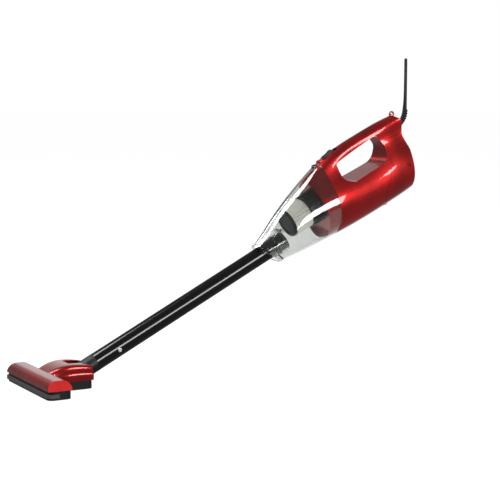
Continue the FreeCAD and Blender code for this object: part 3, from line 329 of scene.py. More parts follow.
def clear_san():
    """Clear SAN, injection moulded: faintly grey, polished, with a few dusty smears."""
    look = bpy.context.scene.vacuum_finish
    material, tree = blank("clear_san")
    place = add_node(tree, "ShaderNodeTexCoord").outputs["Object"]
    smear = add_node(tree, "ShaderNodeTexNoise", {"Vector": place, "Scale": 1 / (22 * MM), "Detail": 4.0})
    haze = add_node(tree, "ShaderNodeMapRange", {"Value": smear.outputs["Fac"], "From Min": 0.45,
                                                 "To Min": 0.015, "To Max": 0.09})
    surface = add_node(tree, "ShaderNodeBsdfPrincipled", {
        "Base Color": opaque(look.clear), "Roughness": haze.outputs["Result"], "IOR": 1.5,
        "Transmission Weight": 1.0})
    add_node(tree, "ShaderNodeOutputMaterial", {"Surface": surface.outputs["BSDF"]})
    return material


def gloss_black_pp():
    """Extruded polypropylene tube, polished: near black with long clean reflections and hairline rubs
    along its length from pushing in and pulling out."""
    look = bpy.context.scene.vacuum_finish
    material, tree = blank("gloss_black_pp")
    place = add_node(tree, "ShaderNodeTexCoord").outputs["Object"]
    # turned so that x runs up the wand, and drawn out fifty times along it
    along = add_node(tree, "ShaderNodeMapping", {"Vector": place, "Rotation": (0, math.radians(-27), 0),
                                                 "Scale": (50, 1, 1)}, vector_type="TEXTURE")
    rubs = add_node(tree, "ShaderNodeTexNoise", {"Vector": along.outputs["Vector"], "Scale": 1 / (1.5 * MM),
                                                 "Detail": 2.0})
    gloss = add_node(tree, "ShaderNodeMapRange", {"Value": rubs.outputs["Fac"], "From Min": 0.45,
                                                  "From Max": 0.75, "To Min": 0.13, "To Max": 0.2})
    surface = add_node(tree, "ShaderNodeBsdfPrincipled", {
        "Base Color": opaque(look.wand), "Roughness": gloss.outputs["Result"], "IOR": 1.49,
        "Specular IOR Level": 0.3, "Coat Weight": 0.2, "Coat Roughness": 0.06})
    add_node(tree, "ShaderNodeOutputMaterial", {"Surface": surface.outputs["BSDF"]})
    return material


def satin_black_abs():
    """ABS from a spark-eroded mould: satin black with a fine even grain."""
    look = bpy.context.scene.vacuum_finish
    material, tree = blank("satin_black_abs")
    place = add_node(tree, "ShaderNodeTexCoord").outputs["Object"]
    # the grain is about 0.1 mm; drawn at 0.5 mm so that it shows
    grain = add_node(tree, "ShaderNodeTexNoise", {"Vector": place, "Scale": 1 / (0.5 * MM), "Detail": 2.0})
    worn = add_node(tree, "ShaderNodeTexNoise", {"Vector": place, "Scale": 1 / (15 * MM), "Detail": 3.0})
    gloss = add_node(tree, "ShaderNodeMapRange", {"Value": worn.outputs["Fac"],
                                                  "To Min": 0.34, "To Max": 0.52})
    bump = add_node(tree, "ShaderNodeBump", {"Height": grain.outputs["Fac"], "Strength": 0.25,
                                             "Distance": 0.0001})
    surface = add_node(tree, "ShaderNodeBsdfPrincipled", {
        "Base Color": opaque(look.black), "Roughness": gloss.outputs["Result"], "IOR": 1.53,
        "Specular IOR Level": 0.25, "Normal": bump.outputs["Normal"]})
    add_node(tree, "ShaderNodeOutputMaterial", {"Surface": surface.outputs["BSDF"]})
    return material


def soft_pvc(name, tint):
    """Plasticised PVC or rubber, moulded or extruded: dull, with a slightly uneven bloom."""
    material, tree = blank(name)
    place = add_node(tree, "ShaderNodeTexCoord").outputs["Object"]
    bloom = add_node(tree, "ShaderNodeTexNoise", {"Vector": place, "Scale": 1 / (9 * MM), "Detail": 4.0})
    gloss = add_node(tree, "ShaderNodeMapRange", {"Value": bloom.outputs["Fac"],
                                                  "To Min": 0.42, "To Max": 0.66})
    pale = tuple(c * 1.35 + 0.001 for c in tint)
    tone = add_node(tree, "ShaderNodeMix", {"Factor": bloom.outputs["Fac"], 6: opaque(tint),
                                            7: opaque(pale)}, data_type="RGBA")
    fine = add_node(tree, "ShaderNodeTexNoise", {"Vector": place, "Scale": 1 / (0.7 * MM), "Detail": 2.0})
    bump = add_node(tree, "ShaderNodeBump", {"Height": fine.outputs["Fac"], "Strength": 0.2,
                                             "Distance": 0.0001})
    surface = add_node(tree, "ShaderNodeBsdfPrincipled", {
        "Base Color": tone.outputs[2], "Roughness": gloss.outputs["Result"], "IOR": 1.52,
        "Specular IOR Level": 0.2, "Normal": bump.outputs["Normal"]})
    add_node(tree, "ShaderNodeOutputMaterial", {"Surface": surface.outputs["BSDF"]})
    return material


def filter_paper():
    """Resin-bonded filter paper: white, matt, with short fibres."""
    look = bpy.context.scene.vacuum_finish
    material, tree = blank("filter_paper")
    place = add_node(tree, "ShaderNodeTexCoord").outputs["Object"]
    # fibres about 1 mm long
    fibres = add_node(tree, "ShaderNodeTexNoise", {"Vector": place, "Scale": 1 / (1.0 * MM), "Detail": 5.0})
    grey = tuple(c * 0.82 for c in look.paper)
    tone = add_node(tree, "ShaderNodeMix", {"Factor": fibres.outputs["Fac"], 6: opaque(look.paper),
                                            7: opaque(grey)}, data_type="RGBA")
    bump = add_node(tree, "ShaderNodeBump", {"Height": fibres.outputs["Fac"], "Strength": 0.4,
                                             "Distance": 0.0002})
    surface = add_node(tree, "ShaderNodeBsdfPrincipled", {
        "Base Color": tone.outputs[2], "Roughness": 0.85, "Normal": bump.outputs["Normal"],
        "Sheen Weight": 0.15})
    add_node(tree, "ShaderNodeOutputMaterial", {"Surface": surface.outputs["BSDF"]})
    return material


def metal(name, code, low, high, grain):
    """A turned or pressed metal part with fine marks across it."""
    material, tree = blank(name)
    place = add_node(tree, "ShaderNodeTexCoord").outputs["Object"]
    marks = add_node(tree, "ShaderNodeTexNoise", {"Vector": place, "Scale": 1 / (grain * MM),
                                                  "Detail": 3.0})
    gloss = add_node(tree, "ShaderNodeMapRange", {"Value": marks.outputs["Fac"],
                                                  "To Min": low, "To Max": high})
    bump = add_node(tree, "ShaderNodeBump", {"Height": marks.outputs["Fac"], "Strength": 0.12,
                                             "Distance": 0.0001})
    surface = add_node(tree, "ShaderNodeBsdfPrincipled", {
        "Base Color": opaque(linear(code)), "Metallic": 1.0, "Roughness": gloss.outputs["Result"],
        "Normal": bump.outputs["Normal"]})
    add_node(tree, "ShaderNodeOutputMaterial", {"Surface": surface.outputs["BSDF"]})
    return material


def nylon(name, code, scale):
    """Drawn nylon: a dull black with a slight sheen, in bristles and in woven straps."""
    material, tree = blank(name)
    place = add_node(tree, "ShaderNodeTexCoord").outputs["Object"]
    # bands lie about a third of 1 / scale apart
    weave_and_highlight = add_node(tree, "ShaderNodeTexWave", {"Vector": place, "Scale": 1 / (scale * MM) / 3.0,
                                                 "Distortion": 1.5}, bands_direction="DIAGONAL")
    base = linear(code)
    # the raised bands of the weave are painted paler than the nylon itself: a painted highlight on them
    pale = tuple(c * 1.8 + 0.004 for c in base)
    tone = add_node(tree, "ShaderNodeMix", {"Factor": weave_and_highlight.outputs["Fac"], 6: opaque(base),
                                            7: opaque(pale)}, data_type="RGBA")
    bump = add_node(tree, "ShaderNodeBump", {"Height": weave_and_highlight.outputs["Fac"], "Strength": 0.35,
                                             "Distance": 0.0003})
    surface = add_node(tree, "ShaderNodeBsdfPrincipled", {
        "Base Color": tone.outputs[2], "Roughness": 0.6, "IOR": 1.53, "Normal": bump.outputs["Normal"],
        "Sheen Weight": 0.25})
    add_node(tree, "ShaderNodeOutputMaterial", {"Surface": surface.outputs["BSDF"]})
    return material


def exhaust_foam_pu():
    """Open-cell polyurethane foam: dark grey and full of small holes."""
    material, tree = blank("exhaust_foam_pu")
    place = add_node(tree, "ShaderNodeTexCoord").outputs["Object"]
    pores_and_shade = add_node(tree, "ShaderNodeTexVoronoi", {"Vector": place, "Scale": 1 / (1.6 * MM)})
    # the middle of each cell, where the bump sinks a pore, is painted darker: painted shade in the pores
    tone = add_node(tree, "ShaderNodeMix", {
        "Factor": pores_and_shade.outputs["Distance"], 6: opaque(linear("191919")), 7: opaque(linear("4B4A48"))},
                    data_type="RGBA")
    bump = add_node(tree, "ShaderNodeBump", {"Height": pores_and_shade.outputs["Distance"], "Strength": 0.7,
                                             "Distance": 0.0008})
    surface = add_node(tree, "ShaderNodeBsdfPrincipled", {
        "Base Color": tone.outputs[2], "Roughness": 0.9, "Normal": bump.outputs["Normal"]})
    add_node(tree, "ShaderNodeOutputMaterial", {"Surface": surface.outputs["BSDF"]})
    return material


def matt_white_board():
    """Matt painted board for the floor: an even white, very slightly mottled, that glows a little."""
    material, tree = blank("matt_white_board")
    place = add_node(tree, "ShaderNodeTexCoord").outputs["Object"]
    mottle = add_node(tree, "ShaderNodeTexNoise", {"Vector": place, "Scale": 2.0})
    tone = add_node(tree, "ShaderNodeMix", {"Factor": mottle.outputs["Fac"], 6: opaque(linear("8C8C8B")),
                                            7: opaque(linear("888887"))}, data_type="RGBA")
    surface = add_node(tree, "ShaderNodeBsdfPrincipled", {
        "Base Color": tone.outputs[2], "Roughness": 0.9, "Specular IOR Level": 0.0,
        "Emission Color": opaque(linear("FFFFFF")), "Emission Strength": 0.93})
    add_node(tree, "ShaderNodeOutputMaterial", {"Surface": surface.outputs["BSDF"]})
    return material


NODE_FINISHES = {
    "red_flake_abs": ("left_housing", "right_housing", "rear_cover", "front_collar", "hanging_loop",
                      "rest_foot", "head_cover", "latch_button"),
    "clear_san": ("cup_shell", "inlet_tube"),
    "gloss_black_pp": ("wand_tube",),
    "satin_black_abs": ("power_slider", "switch_body", "cord_clamp", "fan_shroud", "intake_guard",
                        "impeller", "filter_cap", "filter_holder", "head_base", "pivot_spigot",
                        "brush_holders", "plug_body"),
    "black_pvc": ("strain_relief", "lead", "lead_hank", "lead_tail"),
    "black_rubber": ("bumper_strip", "filter_seal", "wand_seal", "front_motor_mount", "rear_motor_mount"),
    "grey_rubber": ("inlet_flap",),
    "filter_paper": ("pleated_filter",),
    "steel": ("motor_can", "motor_shaft", "front_bearing", "rear_bearing", "stator_core", "armature",
              "housing_screws", "latch_spring", "flap_pin", "lock_spring", "pivot_pins", "head_screws",
              "impeller_nut", "lock_button"),
    "copper": ("field_windings", "commutator"),
    "nickel_plate": ("plug_pins",),
    "carbon": ("carbon_brushes",),
    "brown_pvc": ("wires",),
    "exhaust_foam_pu": ("exhaust_foam",),
    "black_nylon": ("front_bristles", "rear_bristles", "lead_ties"),
}


def material(name):
    return bpy.data.materials[name]


class VACUUM_OT_finishes(bpy.types.Operator):
    """Makes the materials and paints every carried-over piece with its own"""
    bl_idname = "vacuum.finishes"
    bl_label = "Finishes"

    def execute(self, context):
        look = context.scene.vacuum_finish
        red_flake_abs()
        clear_san()
        gloss_black_pp()
        satin_black_abs()
        soft_pvc("black_pvc", look.rubber)
        soft_pvc("black_rubber", tuple(c * 0.8 for c in look.rubber))
        soft_pvc("grey_rubber", look.flap)
        soft_pvc("brown_pvc", linear("5A3B22"))
        filter_paper()
        metal("steel", "B9BABC", 0.22, 0.4, 0.8)
        metal("copper", "B5683B", 0.25, 0.42, 0.5)
        metal("nickel_plate", "CFCDC6", 0.1, 0.24, 1.5)
        metal("carbon", "2A2A2C", 0.5, 0.7, 0.6)
        nylon("black_nylon", "17171A", 1.2)
        exhaust_foam_pu()
        matt_white_board()
        for finish, names in NODE_FINISHES.items():
            for name in names:
                mesh = frame["nodes"][name].data
                mesh.materials.clear()
                mesh.materials.append(material(finish))
        return {"FINISHED"}


# ---- the mains lead ------------------------------------------------------------------------------
# from the strain relief: up, over and down behind the hand unit to the hank
LEAD_ROUTE = (
    (842.5, 0, 516.3), (842.5, 0, 550.3), (845.1, 3.6, 592.1), (857.3, 20.6, 618.9),
    (877.0, 48.1, 622.4), (891.7, 68.6, 599.7), (897.5, 77.0, 557.0), (898.0, 80.0, 517.0),
    (891.0, 84.0, 482.0), (882.0, 88.0, 450.0), (870.0, 92.5, 423.0), (850.0, 96.5, 405.0),
    (831.0, 98.5, 392.5))
HANK_MIDDLE = (338, 76, -33)    # on the hand unit
# from the middle of the hank: along, square to it, and across
TAIL_ROUTE = ((44.0, 20.5, 24.0), (30.0, 18.5, 28.0), (12.0, 14.5, 36.5), (-2.0, 12.0, 40.0))
FOLD_POINTS = 6                     # control points round each fold of the hank
FOLD_STEP = 180 / FOLD_POINTS       # degrees between them


def in_hank(along, square, across):
    """A place on the hank, from its middle, in metres in the floor's frame."""
    middle = Vector(HANK_MIDDLE) * MM
    return UNIT @ (middle + Vector((along, across, square)) * MM)


def hank_points(turns, radius, start, pitch, run):
    """Control points of one layer, round one fold and then the other, stepping across as it winds."""
    corner = radius / math.cos(math.radians(FOLD_STEP / 2))
    first = 90 - FOLD_STEP / 2
    points = []
    for index in range(2 * FOLD_POINTS * turns):
        step = index % (2 * FOLD_POINTS)
        side = -1 if step < FOLD_POINTS else 1
        angle = math.radians(-side * (first - FOLD_STEP * (step % FOLD_POINTS)))
        across = start + pitch * (index + 1) / (2 * FOLD_POINTS)
        along = side * (run / 2 + corner * math.cos(angle))
        points.append(in_hank(along, corner * math.sin(angle), across))
    return points


class VACUUM_OT_lead(bpy.types.Operator):
    """Winds the mains lead: up out of its strain relief, down behind the unit, and folded in a hank"""
    bl_idname = "vacuum.lead"
    bl_label = "Mains lead"

    # turns of each layer, where it starts across the hank and its step for each turn, in millimetres
    outer_layer = (6, 22.9, -7.6)
    inner_layer = (7, -22.7, 6.6)

    def execute(self, context):
        sizes = context.scene.vacuum_sizes
        run = sizes.hank_run / MM
        turns, start, pitch = self.outer_layer
        outer = hank_points(turns, sizes.hank_outer / MM, start, pitch, run)
        turns, start, pitch = self.inner_layer
        inner = hank_points(turns, sizes.hank_inner / MM, start, pitch, run)
        route = [Vector(p) * MM for p in LEAD_ROUTE] + outer + inner + [in_hank(*p) for p in TAIL_ROUTE]
        lead = tube_along("mains_lead", route, sizes.lead_diameter / 2, 5, 4)
        lead.data.materials.append(material("black_pvc"))
        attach(lead, "motor_unit")
        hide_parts("lead", "lead_hank", "lead_tail")
        return {"FINISHED"}


class VACUUM_OT_strain_relief(bpy.types.Operator):
    """Models the ribbed strain relief by extruding ring after ring round its bend"""
    bl_idname = "vacuum.strain_relief"
    bl_label = "Strain relief"

    ribs = 6
    sides = 28
    root_place = (414, 0, 80.5)
    root_deg = 14.0       # lean of the root above the unit's axis
    tip_deg = 63.0
    bend = 36.2           # radius of the centre line
    buried = 10           # length inside the housing
    root_radius = 6.0
    tip_radius = 4.2
    most_proud = 0.6      # of a rib over the root's radius
    rib_depth = 1.1
    groove_share = 0.35   # of the rib's depth, cut in between the ribs

    def execute(self, context):
        start = Vector(self.root_place) * MM
        root = math.radians(self.root_deg)
        centre = start + Vector((-math.sin(root), 0, math.cos(root))) * self.bend * MM
        clear_selection()
        bpy.ops.mesh.primitive_circle_add(vertices=self.sides, radius=self.root_radius * MM,
                                          fill_type="NGON", location=start,
                                          rotation=(0, math.pi / 2 - root, 0))
        piece = context.object
        piece.name = "cord_strain_relief"
        bpy.ops.object.transform_apply(location=True, rotation=True, scale=True)
        edit(piece, "FACE")
        bpy.ops.mesh.select_all(action="SELECT")
        back = Vector((-math.cos(root), 0, -math.sin(root))) * self.buried * MM
        bpy.ops.transform.translate(value=back)
        bpy.ops.mesh.extrude_region_move(TRANSFORM_OT_translate={"value": -back})
        # each rib is four rings: out, along, in, along
        steps = 4 * self.ribs
        sweep = math.radians(self.tip_deg - self.root_deg) / steps
        along = root
        radius = self.root_radius
        for index in range(steps):
            share = (index + 1) / steps
            plain = self.root_radius + (self.tip_radius - self.root_radius) * share
            rib = index % 4 in (0, 1)
            wanted = plain + (self.rib_depth if rib else -self.rib_depth * self.groove_share)
            wanted = min(wanted, self.root_radius + self.most_proud)
            bpy.ops.mesh.extrude_region_move(TRANSFORM_OT_translate={"value": (0, 0, 0)})
            turn(-sweep, "Y", centre)
            along += sweep
            middle = centre + Vector((math.sin(along), 0, -math.cos(along))) * self.bend * MM
            factor = wanted / radius
            bpy.ops.transform.resize(value=(factor, factor, factor), center_override=middle)
            radius = wanted
        bpy.ops.mesh.select_all(action="SELECT")
        bpy.ops.mesh.normals_make_consistent(inside=False)
        bpy.ops.object.mode_set(mode="OBJECT")
        round_edges(piece, 0.25 * MM, 2, 30)
        finish_piece(piece, material("black_pvc"), "motor_unit", ["strain_relief"])
        return {"FINISHED"}


class VACUUM_OT_plug(bpy.types.Operator):
    """Models the moulded plug, its finger grips and its two pins"""
    bl_idname = "vacuum.plug"
    bl_label = "Mains plug"

    place = (-2, 40, 12)      # from the middle of the hank
    face = 42                 # from there to the pins' face and to the back, in millimetres
    back = 8
    neck = 7
    half_width = 11.5
    half_height = 14.5
    grooves = 4
    groove_from = 14          # from the middle of the hank to the first groove
    groove_step = 4.5
    groove_radius = 0.9
    pin_length = 17.8
    pin_radius = 2.4
    pin_offset = 9.5

    def execute(self, context):
        x, y, z = Vector(HANK_MIDDLE) + Vector(self.place)
        back = x - self.back
        plug = block("mains_plug", x - self.face, back, y - self.half_width, y + self.half_width,
                     z - self.half_height, z + self.half_height)
        edit(plug, "FACE")
        pick(plug, "faces", lambda middle, face: face.normal.x > 0.9)
        bpy.ops.transform.resize(value=(1, 0.62, 0.55), center_override=Vector((back, y, z)) * MM)
        bpy.ops.mesh.extrude_region_move(TRANSFORM_OT_translate={"value": (self.neck * MM, 0, 0)})
        bpy.ops.transform.resize(value=(1, 0.65, 0.58),
                                 center_override=Vector((back + self.neck, y, z)) * MM)
        bpy.ops.object.mode_set(mode="OBJECT")
        round_edges(plug, 4.2 * MM, 5, 60)
        for index in range(self.grooves):
            for side in (-1, 1):
                middle = (x - self.groove_from - self.groove_step * index, y,
                          z + side * (10.2 + 1.5 * index))
                cut(plug, rod("groove", self.groove_radius, 18, middle, "Y", 16))
        round_edges(plug, 0.3 * MM, 2, 40)
        finish_piece(plug, material("satin_black_abs"), "motor_unit", ["plug_body"])
        pins = []
        for side in (-1, 1):
            middle = (x - self.face - self.pin_length / 2, y, z + side * self.pin_offset)
            pin = rod("mains_plug_pins", self.pin_radius, self.pin_length, middle, "X", 24)
            round_edges(pin, self.pin_radius / 2 * MM, 4, 60)
            pins.append(pin)
        finish_piece(join(pins, "mains_plug_pins"), material("nickel_plate"), "motor_unit",
                     ["plug_pins"])
        return {"FINISHED"}


class VACUUM_OT_straps(bpy.types.Operator):
    """Models the two straps round the hank and the string that hangs it from the eyelet"""
    bl_idname = "vacuum.straps"
    bl_label = "Hank straps"

    places = (-34, 6)
    width = 12
    thick = 1.2
    slack = 0.1
    half_square = 30.5        # the hank's half size, square to its runs and across it
    half_across = 26.5
    corner = 3.5
    plug_pocket = (-4.2, 28.2, 53.3)    # the first strap's way round the plug: square, and across
    string_radius = 1.1
    string_route = ((368, 41, 24), (393, 26, 60), (402, 18.5, 93), (403.5, 9, 105), (401.6, 0.5, 106))

    def strap(self, along, corners):
        """A strap round an outline square to the runs, given in square and across."""
        x, y, z = HANK_MIDDLE
        clear_selection()
        bpy.ops.mesh.primitive_circle_add(vertices=len(corners), radius=1, fill_type="NOTHING")
        band = bpy.context.object
        band.name = "hank_straps"
        for vertex, (square, across) in zip(band.data.vertices, corners):
            vertex.co = Vector((x + along, y + across, z + square)) * MM
        edit(band, "EDGE")
        bpy.ops.mesh.select_all(action="SELECT")
        bpy.ops.mesh.bevel(offset=self.corner * MM, segments=4, affect="VERTICES")
        bpy.ops.mesh.select_all(action="SELECT")
        bpy.ops.mesh.extrude_region_move(TRANSFORM_OT_translate={"value": (self.width * MM, 0, 0)})
        bpy.ops.mesh.select_all(action="SELECT")
        bpy.ops.mesh.normals_make_consistent(inside=False)
        bpy.ops.object.mode_set(mode="OBJECT")
        modify(band, "SOLIDIFY", thickness=self.thick * MM, offset=-1)
        round_edges(band, 0.3 * MM, 2, 60)
        return band

    def execute(self, context):
        side = self.half_square + self.thick + self.slack
        near = -self.half_across - self.thick - self.slack
        far = -near
        low, high, out = self.plug_pocket
        first = self.strap(self.places[0], [(-side, near), (side, near), (side, far), (high, out),
                                            (low, out), (-side, far)])
        second = self.strap(self.places[1], [(-side, near), (side, near), (side, far), (-side, far)])
        top = Vector(HANK_MIDDLE) + Vector((self.places[1] + self.width / 2, near + 4, side))
        route = [Vector(place) * MM for place in (top, *self.string_route)]
        string = tube_along("string", route, self.string_radius * MM, 12, 3)
        select_only(string)
        bpy.ops.object.convert(target="MESH")
        straps = join([first, second, context.object], "hank_straps")
        finish_piece(straps, material("black_nylon"), "motor_unit", ["lead_ties"])
        return {"FINISHED"}


# ---- the floor head ------------------------------------------------------------------------------
class VACUUM_OT_head_cover(bpy.types.Operator):
    """Models the floor head's glossy cover: an arched bar, a hump that rises out of it and two horns"""
    bl_idname = "vacuum.head_cover"
    bl_label = "Floor head cover"

    # the bar's front, back, half length, underside and top, in millimetres
    front = -6
    rear = 40
    half_length = 110
    low = 18
    top = 36
    arch = 16.5               # radius of the bar's upper edges
    lean = 8.5                # of the end faces, in towards the top
    # the gap between the horns: where it starts, half its width and its rounding
    gap_from = 69.5
    gap_half = 18
    gap_round = 5
    crown = 0.84              # how much narrower the hump is above the bar
    # stations of the hump: place along the head, half width and top, in millimetres
    hump = ((14, 24, 30), (38, 40, 42.5), (62, 45.5, 48.5), (88, 46, 48), (110, 43.5, 44))

    def execute(self, context):
        edge = context.scene.vacuum_sizes.edge
        bar = block("floor_head_cover", self.front, self.rear, -self.half_length, self.half_length,
                    self.low, self.top)
        edit(bar, "EDGE")
        pick(bar, "edges",
             lambda middle, item: middle.z > (self.top - 1) * MM and abs(middle.y) < 1 * MM)
        bpy.ops.mesh.bevel(offset=self.arch * MM, segments=10, profile=0.5, affect="EDGES")
        # the end faces stay clear of the screws inside
        bpy.ops.mesh.select_mode(type="VERT")
        for vertex in bmesh.from_edit_mesh(bar.data).verts:
            rise = (vertex.co.z / MM - self.low) / (self.top - self.low)
            vertex.co.y -= math.copysign(self.lean * MM * rise, vertex.co.y)
        bmesh.update_edit_mesh(bar.data)
        bpy.ops.object.mode_set(mode="OBJECT")
        start = self.hump[0][0]
        end = self.hump[-1][0]
        neck = block("hump", start, end, -1, 1, self.low, self.low + 1)
        edit(neck, "FACE")
        bpy.ops.mesh.select_all(action="SELECT")
        bpy.ops.mesh.subdivide(number_cuts=len(self.hump) - 2)
        bpy.ops.mesh.select_mode(type="VERT")
        places = [start + (end - start) * k / (len(self.hump) - 1) for k in range(len(self.hump))]
        for place, (x, half, top) in zip(places, self.hump):
            pick(neck, "verts", lambda middle, item, place=place: abs(middle.x - place * MM) < 0.01 * MM)
            middle = Vector((place, 0, self.low)) * MM
            bpy.ops.transform.resize(value=(1, half, top - self.low), center_override=middle)
            bpy.ops.transform.translate(value=((x - place) * MM, 0, 0))
        pick(neck, "verts", lambda middle, item: middle.z > self.top * MM)
        bpy.ops.transform.resize(value=(1, self.crown, 1), center_override=(0, 0, 0))
        # a sharp edge round the underside, and a softer one round the end between the horns
        bpy.ops.mesh.select_mode(type="EDGE")
        pick(neck, "edges", lambda middle, item: all(v.co.z < (self.low + 0.01) * MM for v in item.verts)
             and len([f for f in item.link_faces if f.normal.z > -0.9]) == 1)
        bpy.ops.transform.edge_crease(value=1)
        pick(neck, "edges", lambda middle, item: all(v.co.x > (end - 1) * MM for v in item.verts)
             and len([f for f in item.link_faces if f.normal.x > 0.9]) == 1)
        bpy.ops.transform.edge_crease(value=0.55)
        bpy.ops.object.mode_set(mode="OBJECT")
        modify(neck, "SUBSURF", levels=4, render_levels=4)
        cut(bar, neck, "UNION")
        slot = block("slot", self.gap_from, 140, -self.gap_half, self.gap_half, 0, 80)
        edit(slot, "EDGE")
        inner = (self.gap_from + 0.5) * MM
        pick(slot, "edges", lambda middle, item: middle.x < inner and abs(middle.z - 40 * MM) < 1 * MM)
        bpy.ops.mesh.bevel(offset=self.gap_round * MM, segments=5, affect="EDGES")
        bpy.ops.object.mode_set(mode="OBJECT")
        cut(bar, slot)
        round_edges(bar, edge, 3, 32)
        finish_piece(bar, material("red_flake_abs"), "floor_head", ["head_cover"],
                     on_unit=False, angle=40)
        return {"FINISHED"}


class VACUUM_OT_bristles(bpy.types.Operator):
    """Models one tuft of splayed bristles and repeats it along both strips"""
    bl_idname = "vacuum.bristles"
    bl_label = "Bristle strips"

    strands = 9
    turn_each = 2.4           # radians from one strand to the next, close to the golden angle
    pitch = 0.45              # a strand stands this far out, times the square root of its number
    root_radius = 0.42
    tip_radius = 0.28
    margin = 2                # from the strip's end to the first tuft's middle

    def execute(self, context):
        spacing = context.scene.vacuum_sizes.tuft_spacing
        for node, name in (("front_bristles", "front_bristle_tufts"),
                           ("rear_bristles", "rear_bristle_tufts")):
            low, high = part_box(node)
            middle = (low.x + high.x) / 2
            strands = []
            for index in range(self.strands):
                angle = index * self.turn_each
                reach = self.pitch * MM * math.sqrt(index)
                clear_selection()
                place = (middle + reach * 0.8 * math.cos(angle),
                         low.y + self.margin * MM + reach * 1.6 * math.sin(angle),
                         (low.z + high.z) / 2)
                bpy.ops.mesh.primitive_cone_add(vertices=6, radius1=self.tip_radius * MM,
                                                radius2=self.root_radius * MM,
                                                depth=high.z - low.z, location=place)
                strand = context.object
                strands.append(strand)
                edit(strand, "VERT")
                pick(strand, "verts", lambda point, item: point.z < 0)
                splay = (reach * 0.5 * math.cos(angle), reach * math.sin(angle), 0)
                bpy.ops.transform.translate(value=splay)
                bpy.ops.object.mode_set(mode="OBJECT")
            tuft = join(strands, name)
            bpy.ops.object.transform_apply(location=True, rotation=True, scale=True)
            between = high.y - low.y - 2 * self.margin * MM
            count = int(between / spacing) + 1
            step = between / (count - 1)
            modify(tuft, "ARRAY", count=count, use_relative_offset=False, use_constant_offset=True,
                   constant_offset_displace=(0, step, 0))
            finish_piece(tuft, material("black_nylon"), "floor_head", [node], on_unit=False)
        return {"FINISHED"}


# ---- controls ------------------------------------------------------------------------------------
class VACUUM_OT_controls(bpy.types.Operator):
    """Models the slide switch and the cup's release button"""
    bl_idname = "vacuum.controls"
    bl_label = "Switch and latch"

    # the slider's side outline, along the unit and square to it, with a thumb rest at its back
    slider_side = ((211, 104.4), (238, 104.4), (238, 107.6), (236.4, 109.8), (233.6, 110.5),
                   (230.4, 110.2), (227, 108.6), (221, 107.2), (213, 106.4), (211, 105.8))
    slider_half = 7
    slider_grooves = 4
    latch_grooves = 3

    def slider(self, edge):
        slider = profile_piece("slide_switch", self.slider_side, self.slider_half)
        round_edges(slider, edge, 3, 50)
        for index in range(self.slider_grooves):
            groove = rod("groove", 0.5, 11, (214.4 + 2.4 * index, 0, 106.9 + 0.25 * index), "Y", 12)
            cut(slider, groove)
        stem = block("stem", 222, 227, -2.5, 2.5, 100.4, 105)
        return join([slider, stem], "slide_switch")

    def latch(self, edge):
        latch = block("release_button", 196, 206, -8, 8, 92, 104)
        round_edges(latch, edge * 1.4, 3, 50)
        for index in range(self.latch_grooves):
            groove = rod("groove", 0.8, 13, (198.5 + 2.5 * index, 0, 104.2), "Y", 12)
            cut(latch, groove)
        return latch

    def execute(self, context):
        edge = context.scene.vacuum_sizes.edge
        finish_piece(self.slider(edge), material("satin_black_abs"), "power_switch",
                     ["power_slider"])
        finish_piece(self.latch(edge), material("red_flake_abs"), "latch", ["latch_button"])
        return {"FINISHED"}


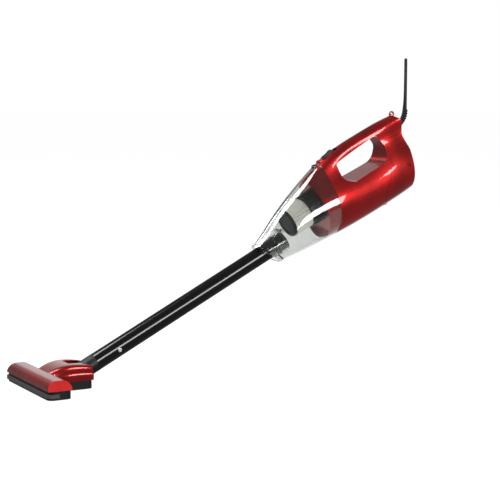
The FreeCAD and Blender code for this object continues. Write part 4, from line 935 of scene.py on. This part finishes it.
# ---- stage ---------------------------------------------------------------------------------------
class VACUUM_OT_stage(bpy.types.Operator):
    """Sets the pale floor, the soft lights and the camera"""
    bl_idname = "vacuum.stage"
    bl_label = "Stage"

    # name, place, size and power of each soft light, all turned to the middle of the cleaner
    lights = (
        ("overhead", (-0.9, 0.5, 2.9), (1.4, 1.0), 70),
        ("key", (-1.9, -1.6, 2.3), (0.8, 0.8), 50),
        ("window", (1.2, -2.7, 1.15), (1.9, 0.8), 85),
        ("back", (-0.9, 2.4, 2.4), (1.0, 0.8), 30),
    )
    aim = (0.4674, 0.0, 0.238)
    eye = (-0.8951, -2.4240, 0.5426)
    backdrop = (0.49, 0.87, -0.1)      # the way from the camera to the cleaner
    lens = 100.8
    floor_size = 80

    def execute(self, context):
        clear_selection()
        bpy.ops.mesh.primitive_plane_add(size=self.floor_size, location=(0, 0, 0))
        floor = context.object
        floor.name = "floor"
        floor.visible_glossy = False
        floor.data.materials.append(material("matt_white_board"))
        aim = Vector(self.aim)
        for name, place, size, power in self.lights:
            clear_selection()
            bpy.ops.object.light_add(type="AREA", location=place)
            light = context.object
            light.name = name
            light.data.shape = "RECTANGLE"
            light.data.size, light.data.size_y = size
            light.data.energy = power
            light.rotation_euler = (Vector(place) - aim).to_track_quat("Z", "Y").to_euler()
        world = bpy.data.worlds.new("soft_white_room")
        world.use_nodes = True
        tree = world.node_tree
        tree.nodes.clear()
        # a white backdrop low on the far side, and a dim room elsewhere
        way = add_node(tree, "ShaderNodeTexCoord").outputs["Generated"]
        nearness = add_node(tree, "ShaderNodeVectorMath", {0: way, 1: self.backdrop},
                            operation="DOT_PRODUCT")
        fade = add_node(tree, "ShaderNodeMapRange", {"Value": nearness.outputs["Value"], "From Min": 0.75,
                                                     "From Max": 0.93, "To Min": 0.22, "To Max": 1.0},
                        interpolation_type="SMOOTHSTEP")
        sky = add_node(tree, "ShaderNodeBackground", {"Color": opaque(linear("FFFFFF")),
                                                      "Strength": fade.outputs["Result"]})
        add_node(tree, "ShaderNodeOutputWorld", {"Surface": sky.outputs["Background"]})
        context.scene.world = world
        context.scene.view_settings.view_transform = "Standard"
        clear_selection()
        bpy.ops.object.camera_add(location=self.eye)
        camera = context.object
        camera.rotation_euler = (aim - Vector(self.eye)).to_track_quat("-Z", "Y").to_euler()
        camera.data.sensor_width = 36
        camera.data.lens = self.lens
        camera.data.clip_start = 0.05
        camera.data.clip_end = 60
        context.scene.camera = camera
        return {"FINISHED"}


# ---- add-on --------------------------------------------------------------------------------------
class VACUUM_PT_build(bpy.types.Panel):
    """Lists the steps in the order they run"""
    bl_label = "Stick Vacuum"
    bl_idname = "VACUUM_PT_build"
    bl_space_type = "VIEW_3D"
    bl_region_type = "UI"
    bl_category = "Vacuum"

    def draw(self, context):
        layout = self.layout
        for group in (context.scene.vacuum_finish, context.scene.vacuum_sizes):
            column = layout.column(align=True)
            for name in group.__annotations__:
                column.prop(group, name)
        for operator in OPERATORS:
            layout.operator(operator.bl_idname)


OPERATORS = (
    VACUUM_OT_finishes,
    VACUUM_OT_stage,
    VACUUM_OT_strain_relief,
    VACUUM_OT_plug,
    VACUUM_OT_straps,
    VACUUM_OT_lead,
    VACUUM_OT_head_cover,
    VACUUM_OT_bristles,
    VACUUM_OT_controls,
)
CLASSES = (VacuumFinish, VacuumSizes, *OPERATORS, VACUUM_PT_build)


def register():
    for item in CLASSES:
        bpy.utils.register_class(item)
    bpy.types.Scene.vacuum_finish = bpy.props.PointerProperty(type=VacuumFinish)
    bpy.types.Scene.vacuum_sizes = bpy.props.PointerProperty(type=VacuumSizes)


def unregister():
    del bpy.types.Scene.vacuum_sizes
    del bpy.types.Scene.vacuum_finish
    for item in reversed(CLASSES):
        bpy.utils.unregister_class(item)


def main():
    register()
    for operator in OPERATORS:
        group, name = operator.bl_idname.split(".")
        if getattr(getattr(bpy.ops, group), name)() != {"FINISHED"}:
            raise RuntimeError(f"{operator.bl_idname} did not finish")


if __name__ == "__main__":
    main()
